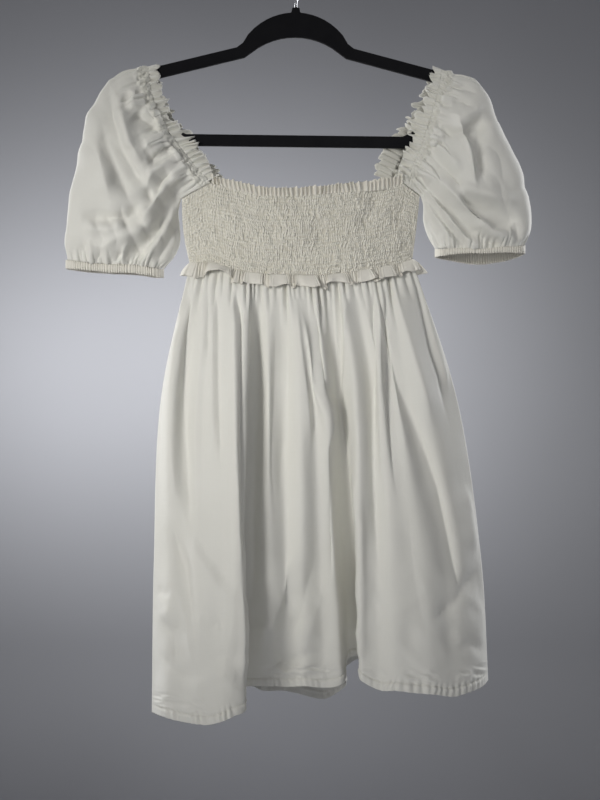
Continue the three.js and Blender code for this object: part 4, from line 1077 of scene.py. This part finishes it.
def make_sleeve(far, levels, seed):
    a = both_ways(np.linspace(0, 1, 166) ** 1.12)
    places = sleeve_places(far, a, levels)
    n = outward(places, SLEEVES[far]["turn"])
    joined = levels >= TURN_ROW
    meet = unit(n[:, 0] + n[:, -1])
    n[joined, 0], n[joined, -1] = meet[joined], meet[joined]
    down, along = length_along(places), length_along(places, 1)
    neck_along, low_along = along[:1], along[-1:]
    # the shirred band, and the gathers that run out of it
    wobble = 3 * chance(neck_along, 15, seed + 8)
    band = ease((BAND + wobble - down) / 5)
    row = down / BAND * BAND_ROWS + 0.7 * uneven(neck_along, down, 9, 7, seed + 10)
    pucker = pucker_height(neck_along / BAND_PUCKER, np.clip(row, 0, BAND_ROWS * 3), seed, 0.45, 1.1)
    knot = uneven(neck_along + 0.3 * down, down, 3.4, 10, seed + 9)
    lump = uneven(neck_along, down, 11, 14, seed + 11)
    height = band * (2.6 * pucker + 2.2 * knot + 1.6 * lump - 1.2) * (0.3 + 0.7 * ease(down / 5))
    reach = 26 + 22 * chance(neck_along, 8, seed + 2)
    spill = (1 - band) * np.clip(1 - (down - BAND) / reach, 0, 1)
    height = height + 3.4 * spill * sharp_uneven(neck_along + 0.12 * down, down, 5.2, 90, seed + 1, 2.2)
    # gathers over the cuff
    up = down[-1] - down
    reach = 20 + 15 * chance(low_along, 9, seed + 4)
    ridge = sharp_uneven(low_along, up, 4.6, 60, seed + 3, 2.2)
    height = height + 2.4 * np.clip(1 - up / reach, 0, 1) * ridge * (0.4 + 0.6 * ease(up / 5))
    x, z = seen(places)
    crisp = sharp_uneven(x + 0.5 * z, z - 0.4 * x, 19, 34, seed + 12)
    height = height + (1.5 * uneven(x, z, 24, 21, seed + 6) + 1.2 * crisp) * (1 - band)
    places = places + n * (height * np.minimum(1, (1 - np.abs(a)) / 0.03))[..., None]
    middle = places.reshape(-1, 3).mean(0) * MM
    # the last figure but one paints shade on the shirred band, between its puckers
    cloth(f"sleeve_{far}", places, a, levels, flat_size(places, SLEEVE_FLAT), COTTON, POPLIN,
          1 - band * (1 - pucker), lambda c: Vector((c.x, middle[1], c.z)))


SLEEVE_LEVELS = steps((26, 0.10), (16, TURN_ROW), (36, 0.85), (16, 1))
make_sleeve("left", SLEEVE_LEVELS, 101)
make_sleeve("right", SLEEVE_LEVELS, 113)

# The headings past the sleeves' neck edges

SLEEVE_FRILL = 10       # height of a heading
SLEEVE_PLEAT = 7.2      # from pleat to pleat

# where a heading stands taller: the share of the way from shoulder to corner, over what share,
# and by how much
FRILL_SWELLS = {
    ("left", "front"): [(0.30, 0.07, 0.3), (0.60, 0.10, 0.8), (0.80, 0.04, 0.5)],
    ("left", "back"): [(0.5, 0.3, 0.3)],
    ("right", "front"): [(0.26, 0.06, 0.3), (0.52, 0.11, 1.1), (0.78, 0.06, 0.3)],
    ("right", "back"): [(0.35, 0.2, 0.7), (0.75, 0.2, 0.9)],
}


def make_sleeve_frill(far, seed):
    a = both_ways(np.linspace(0, 0.985, 191))
    t = np.linspace(1, 0, 9)
    up = t[:, None]
    b = np.abs(a)
    side = np.where(a < 0, 1.0, -1.0)
    base, next_row = sleeve_places(far, a, np.array([0.0, 0.05]))
    # past the neck edge, into the neck opening
    inward = base - next_row
    inward[:, 1] *= 0.3
    inward[:, 2] += np.where(b < 0.03, 0.12 * np.linalg.norm(inward, axis=1), 0)
    along = length_along(base)
    turn = 2 * np.pi * along / SLEEVE_PLEAT + 3.8 * chance(along, 10, seed)
    fine = np.sin(2 * np.pi * along / 3.1 + 2 * chance(along, 8, seed + 1))
    low = ease((b - 0.3) / 0.4)
    wave = 1.6 + (2.8 + 0.9 * low) * np.sin(turn) * (1 + 0.6 * chance(along, 6, seed + 2))
    tall = SLEEVE_FRILL * (1 + 0.3 * low + 0.34 * chance(along, 4, seed + 3)
                           + 0.16 * chance(along, 1.6, seed + 5) + 0.1 * np.cos(turn))
    for which in SIDES:
        for at, over, more in FRILL_SWELLS[far, which]:
            tall = np.where(side == SIDES[which], tall * (1 + more * bell((b - at) / over)), tall)
    places = base + unit(inward) * (-0.8 + (tall + 0.8) * up)[..., None]
    from_ridge = np.minimum(1, b / 0.12)
    places[..., 1] -= side * (wave * (0.2 + 0.8 * up) + 0.6 * fine * (1 - 0.4 * up)) * from_ridge
    slide = (2.2 * np.cos(turn) + 2.0 * chance(along, 9, seed + 4)) * up * from_ridge
    places = places + unit(np.gradient(base, axis=0)) * slide[..., None]
    # the last figure paints shade on the pleats of the heading that turn in
    cloth(f"sleeve_frill_{far}", places, a, 1 - t, flat_size(places, NARROW_FRILL_FLAT), COTTON,
          FRILL_CLOTH, 0.6 + 0.4 * np.sin(turn) + 0 * up)


make_sleeve_frill("left", 131)
make_sleeve_frill("right", 137)

# The cuffs

CUFF = 10               # height of the band
CUFF_RIB = 3            # from gather to gather


def make_cuff(far, tip, seed):
    """An elastic band, of which tip lowers the back and lifts the front, so that its inside shows."""
    a = np.linspace(-1, 1, 441)
    t = np.linspace(0, 1, 11)
    down = t[:, None]
    b = np.abs(a)
    side = np.where(a < 0, 1.0, -1.0)
    base = sleeve_places(far, a, np.array([0.9, 1.0]))[1]
    along = length_along(base)
    rib = np.sin(2 * np.pi * along / CUFF_RIB + 2.2 * chance(along, 8, seed))
    ripple = 0.8 * rib * (1 + 0.5 * chance(along, 4, seed + 1)) * (0.7 + 0.3 * np.cos(2 * np.pi * down))
    drop = CUFF * (1 - tip * side * np.sin(np.pi * b)) + 0.5 * rib + 0.5 * chance(along, 14, seed + 2)
    places = np.repeat(base[None], len(t), axis=0)
    places[..., 2] -= 0.2 + down * drop
    places[..., 1] -= side * (0.9 * np.sin(np.pi * down) + 0.5 + ripple) * np.minimum(1, 8 * b * (1 - b))
    middle = base.mean(0) * MM
    # the last figure paints shade between the cuff's gathered ribs
    cloth(f"cuff_{far}", places, a, t, flat_size(places, CUFF_FLAT), FRILL_COTTON, CUFF_CLOTH,
          0.55 + 0.45 * rib + 0 * down, lambda c: Vector((middle[0], middle[1], c.z)))


make_cuff("left", 0.05, 151)
make_cuff("right", 0.45, 157)

# The hanger


def rigid_piece(name, bm, finish, node, smooth_angle):
    bmesh.ops.triangulate(bm, faces=[f for f in bm.faces if len(f.verts) > 4])
    mesh = mesh_of(bm, name)
    mesh.set_sharp_from_angle(angle=math.radians(smooth_angle))
    add_piece(name, mesh, finish, node)


FRAME_ROUND = 1.6       # how far its rims are rounded


def make_hanger_frame():
    """The node's own mesh, its loose triangles sewn into plain faces and its rims rounded."""
    bm = bmesh.new()
    bm.from_mesh(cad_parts["hanger_frame"].data)
    bmesh.ops.remove_doubles(bm, verts=bm.verts, dist=1e-5)
    bmesh.ops.dissolve_limit(bm, angle_limit=math.radians(1), verts=bm.verts, edges=bm.edges)
    rims = [e for e in bm.edges if len(e.link_faces) == 2 and e.calc_face_angle() > math.radians(60)]
    bmesh.ops.bevel(bm, geom=rims, offset=FRAME_ROUND * MM, segments=4, profile=0.5,
                    affect="EDGES", material=-1)
    rigid_piece("flocked_frame", bm, FLOCK, "hanger_frame", 40)


HOOK_WIRE = 3.4         # thickness of the wire
HOOK_INSIDE = 22        # radius of the ring's inside
HOOK_TILT = math.radians(0.7)
STEM_FOOT = -61.7       # z of the stem's foot, just over the frame's top
STEM = 4.7              # the straight stem's length
STEM_BEND = 52          # degrees
STRAIGHT = 13.65        # from the stem's bend to the ring
RING_TURN = -252        # degrees
HOOK_ROUND = 1.25       # of the wire's end


def make_hook():
    """A stem drawn up, bent over, run straight and turned into an open ring with a round end."""
    bm = bmesh.new()
    bmesh.ops.create_circle(bm, cap_ends=True, radius=HOOK_WIRE / 2 * MM, segments=20,
                            matrix=Matrix.Translation((0, 0, STEM_FOOT * MM)))
    ring = list(bm.edges)

    def draw(vector):
        nonlocal ring
        grown = bmesh.ops.extrude_edge_only(bm, edges=ring)["geom"]
        ends = [g for g in grown if isinstance(g, bmesh.types.BMVert)]
        bmesh.ops.translate(bm, vec=Vector(vector) * MM, verts=ends)
        ring = [g for g in grown if isinstance(g, bmesh.types.BMEdge) and all(v in grown for v in g.verts)]

    def turn(centre, degrees, count):
        nonlocal ring
        verts = list({v for e in ring for v in e.verts})
        grown = bmesh.ops.spin(bm, geom=verts + ring, cent=Vector(centre) * MM, axis=(0, 1, 0),
                               dvec=(0, 0, 0), angle=math.radians(degrees), steps=count,
                               use_merge=False, use_duplicate=False)
        ring = [g for g in set(grown["geom_last"]) if isinstance(g, bmesh.types.BMEdge)]

    draw((0, 0, STEM))
    turn((10, 0, STEM_FOOT + STEM), STEM_BEND, 8)
    lean = math.radians(STEM_BEND)
    draw((math.sin(lean) * STRAIGHT, 0, math.cos(lean) * STRAIGHT))
    turn((0, 0, -HOOK_INSIDE), RING_TURN, 56)
    end = bmesh.ops.contextual_create(bm, geom=ring)["faces"]
    bmesh.ops.bevel(bm, geom=[e for f in end for e in f.edges], offset=HOOK_ROUND * MM, segments=4,
                    profile=0.5, affect="EDGES", material=-1)
    bmesh.ops.remove_doubles(bm, verts=bm.verts, dist=1e-6)
    bmesh.ops.recalc_face_normals(bm, faces=bm.faces)
    bmesh.ops.rotate(bm, cent=(0, 0, 0), matrix=Matrix.Rotation(HOOK_TILT, 3, "Y"), verts=bm.verts)
    rigid_piece("wire_hook", bm, WIRE, "hanger_hook", 50)


make_hanger_frame()
make_hook()

# The stage: a pale floor that sweeps up into a plain wall

# in metres
STAGE_WIDE = 9.0
STAGE_NEAR = -3.2
FLOOR = -2.12
WALL = 2.55
WALL_TALL = 4.2
SWEEP = 0.6             # radius of the bend from floor to wall


def make_stage():
    bm = bmesh.new()
    corner = [bm.verts.new((-STAGE_WIDE / 2, y, FLOOR)) for y in (STAGE_NEAR, WALL - SWEEP)]
    bm.edges.new(corner)
    bend = bmesh.ops.spin(bm, geom=[corner[1]], cent=(0, WALL - SWEEP, FLOOR + SWEEP), axis=(1, 0, 0),
                          dvec=(0, 0, 0), angle=math.radians(90), steps=16, use_merge=False,
                          use_duplicate=False)
    top = next(g for g in bend["geom_last"] if isinstance(g, bmesh.types.BMVert))
    high = bmesh.ops.extrude_vert_indiv(bm, verts=[top])["verts"]
    bmesh.ops.translate(bm, vec=(0, 0, WALL_TALL), verts=high)
    grown = bmesh.ops.extrude_edge_only(bm, edges=list(bm.edges))["geom"]
    far_side = [g for g in grown if isinstance(g, bmesh.types.BMVert)]
    bmesh.ops.translate(bm, vec=(STAGE_WIDE, 0, 0), verts=far_side)
    bmesh.ops.recalc_face_normals(bm, faces=bm.faces)
    mesh = mesh_of(bm, "stage")
    mesh.materials.append(painted("pale_paper", (0.40, 0.405, 0.43), (0.36, 0.365, 0.385), 1.2))
    put("stage", mesh)


make_stage()


def soft_light(name, at, aim, width, height, power, tint, spread=180):
    """A soft box at one place, turned to another."""
    lamp = bpy.data.lights.new(name, "AREA")
    lamp.shape, lamp.size, lamp.size_y = "RECTANGLE", width, height
    lamp.energy, lamp.color, lamp.spread = power, tint, math.radians(spread)
    light = put(name, lamp)
    light.visible_camera = False
    light.location = at
    light.rotation_euler = (Vector(aim) - Vector(at)).to_track_quat("-Z", "Y").to_euler()


soft_light("key", (-1.12, -1.30, -0.34), (-0.12, 0, -0.50), 0.5, 0.5, 1.28, (1.0, 0.988, 0.952), 46)
soft_light("right_fill", (0.55, -0.95, 0.10), (0.23, 0, -0.25), 0.3, 0.3, 0.09, (1.0, 0.99, 0.98), 44)
soft_light("left_rim", (-1.15, 0.65, -0.05), (-0.1, 0, -0.45), 0.4, 1.3, 13, (0.97, 0.98, 1.0))
soft_light("right_rim", (1.15, 0.60, -0.05), (0.1, 0, -0.45), 0.4, 1.3, 14, (0.97, 0.98, 1.0))
soft_light("low_fill", (0.10, -0.75, -1.5), (0.14, 0.05, -0.30), 0.4, 0.3, 0.17, (0.98, 0.985, 1.0), 60)
soft_light("wall", (-0.50, 1.35, -0.38), (-0.45, WALL, -0.38), 2.2, 0.75, 16.5, (0.98, 0.985, 1.0), 128)

world = bpy.data.worlds.new("room")
bpy.context.scene.world = world
world.use_nodes = True
sky = world.node_tree.nodes["Background"].inputs
sky["Color"].default_value = (0.80, 0.80, 0.83, 1)
sky["Strength"].default_value = 0.25

bpy.context.scene.view_settings.view_transform = "Standard"

# The camera

lens_data = bpy.data.cameras.new("camera")
lens_data.sensor_width = 36
lens_data.lens = 36 * CAMERA_AWAY / SEEN_TALL
camera = put("camera", lens_data)
camera.location = (CAMERA_X * MM, -CAMERA_AWAY, CAMERA_Z * MM)
camera.rotation_euler = (math.radians(90), 0, 0)
bpy.context.scene.camera = camera

bpy.context.view_layer.update()
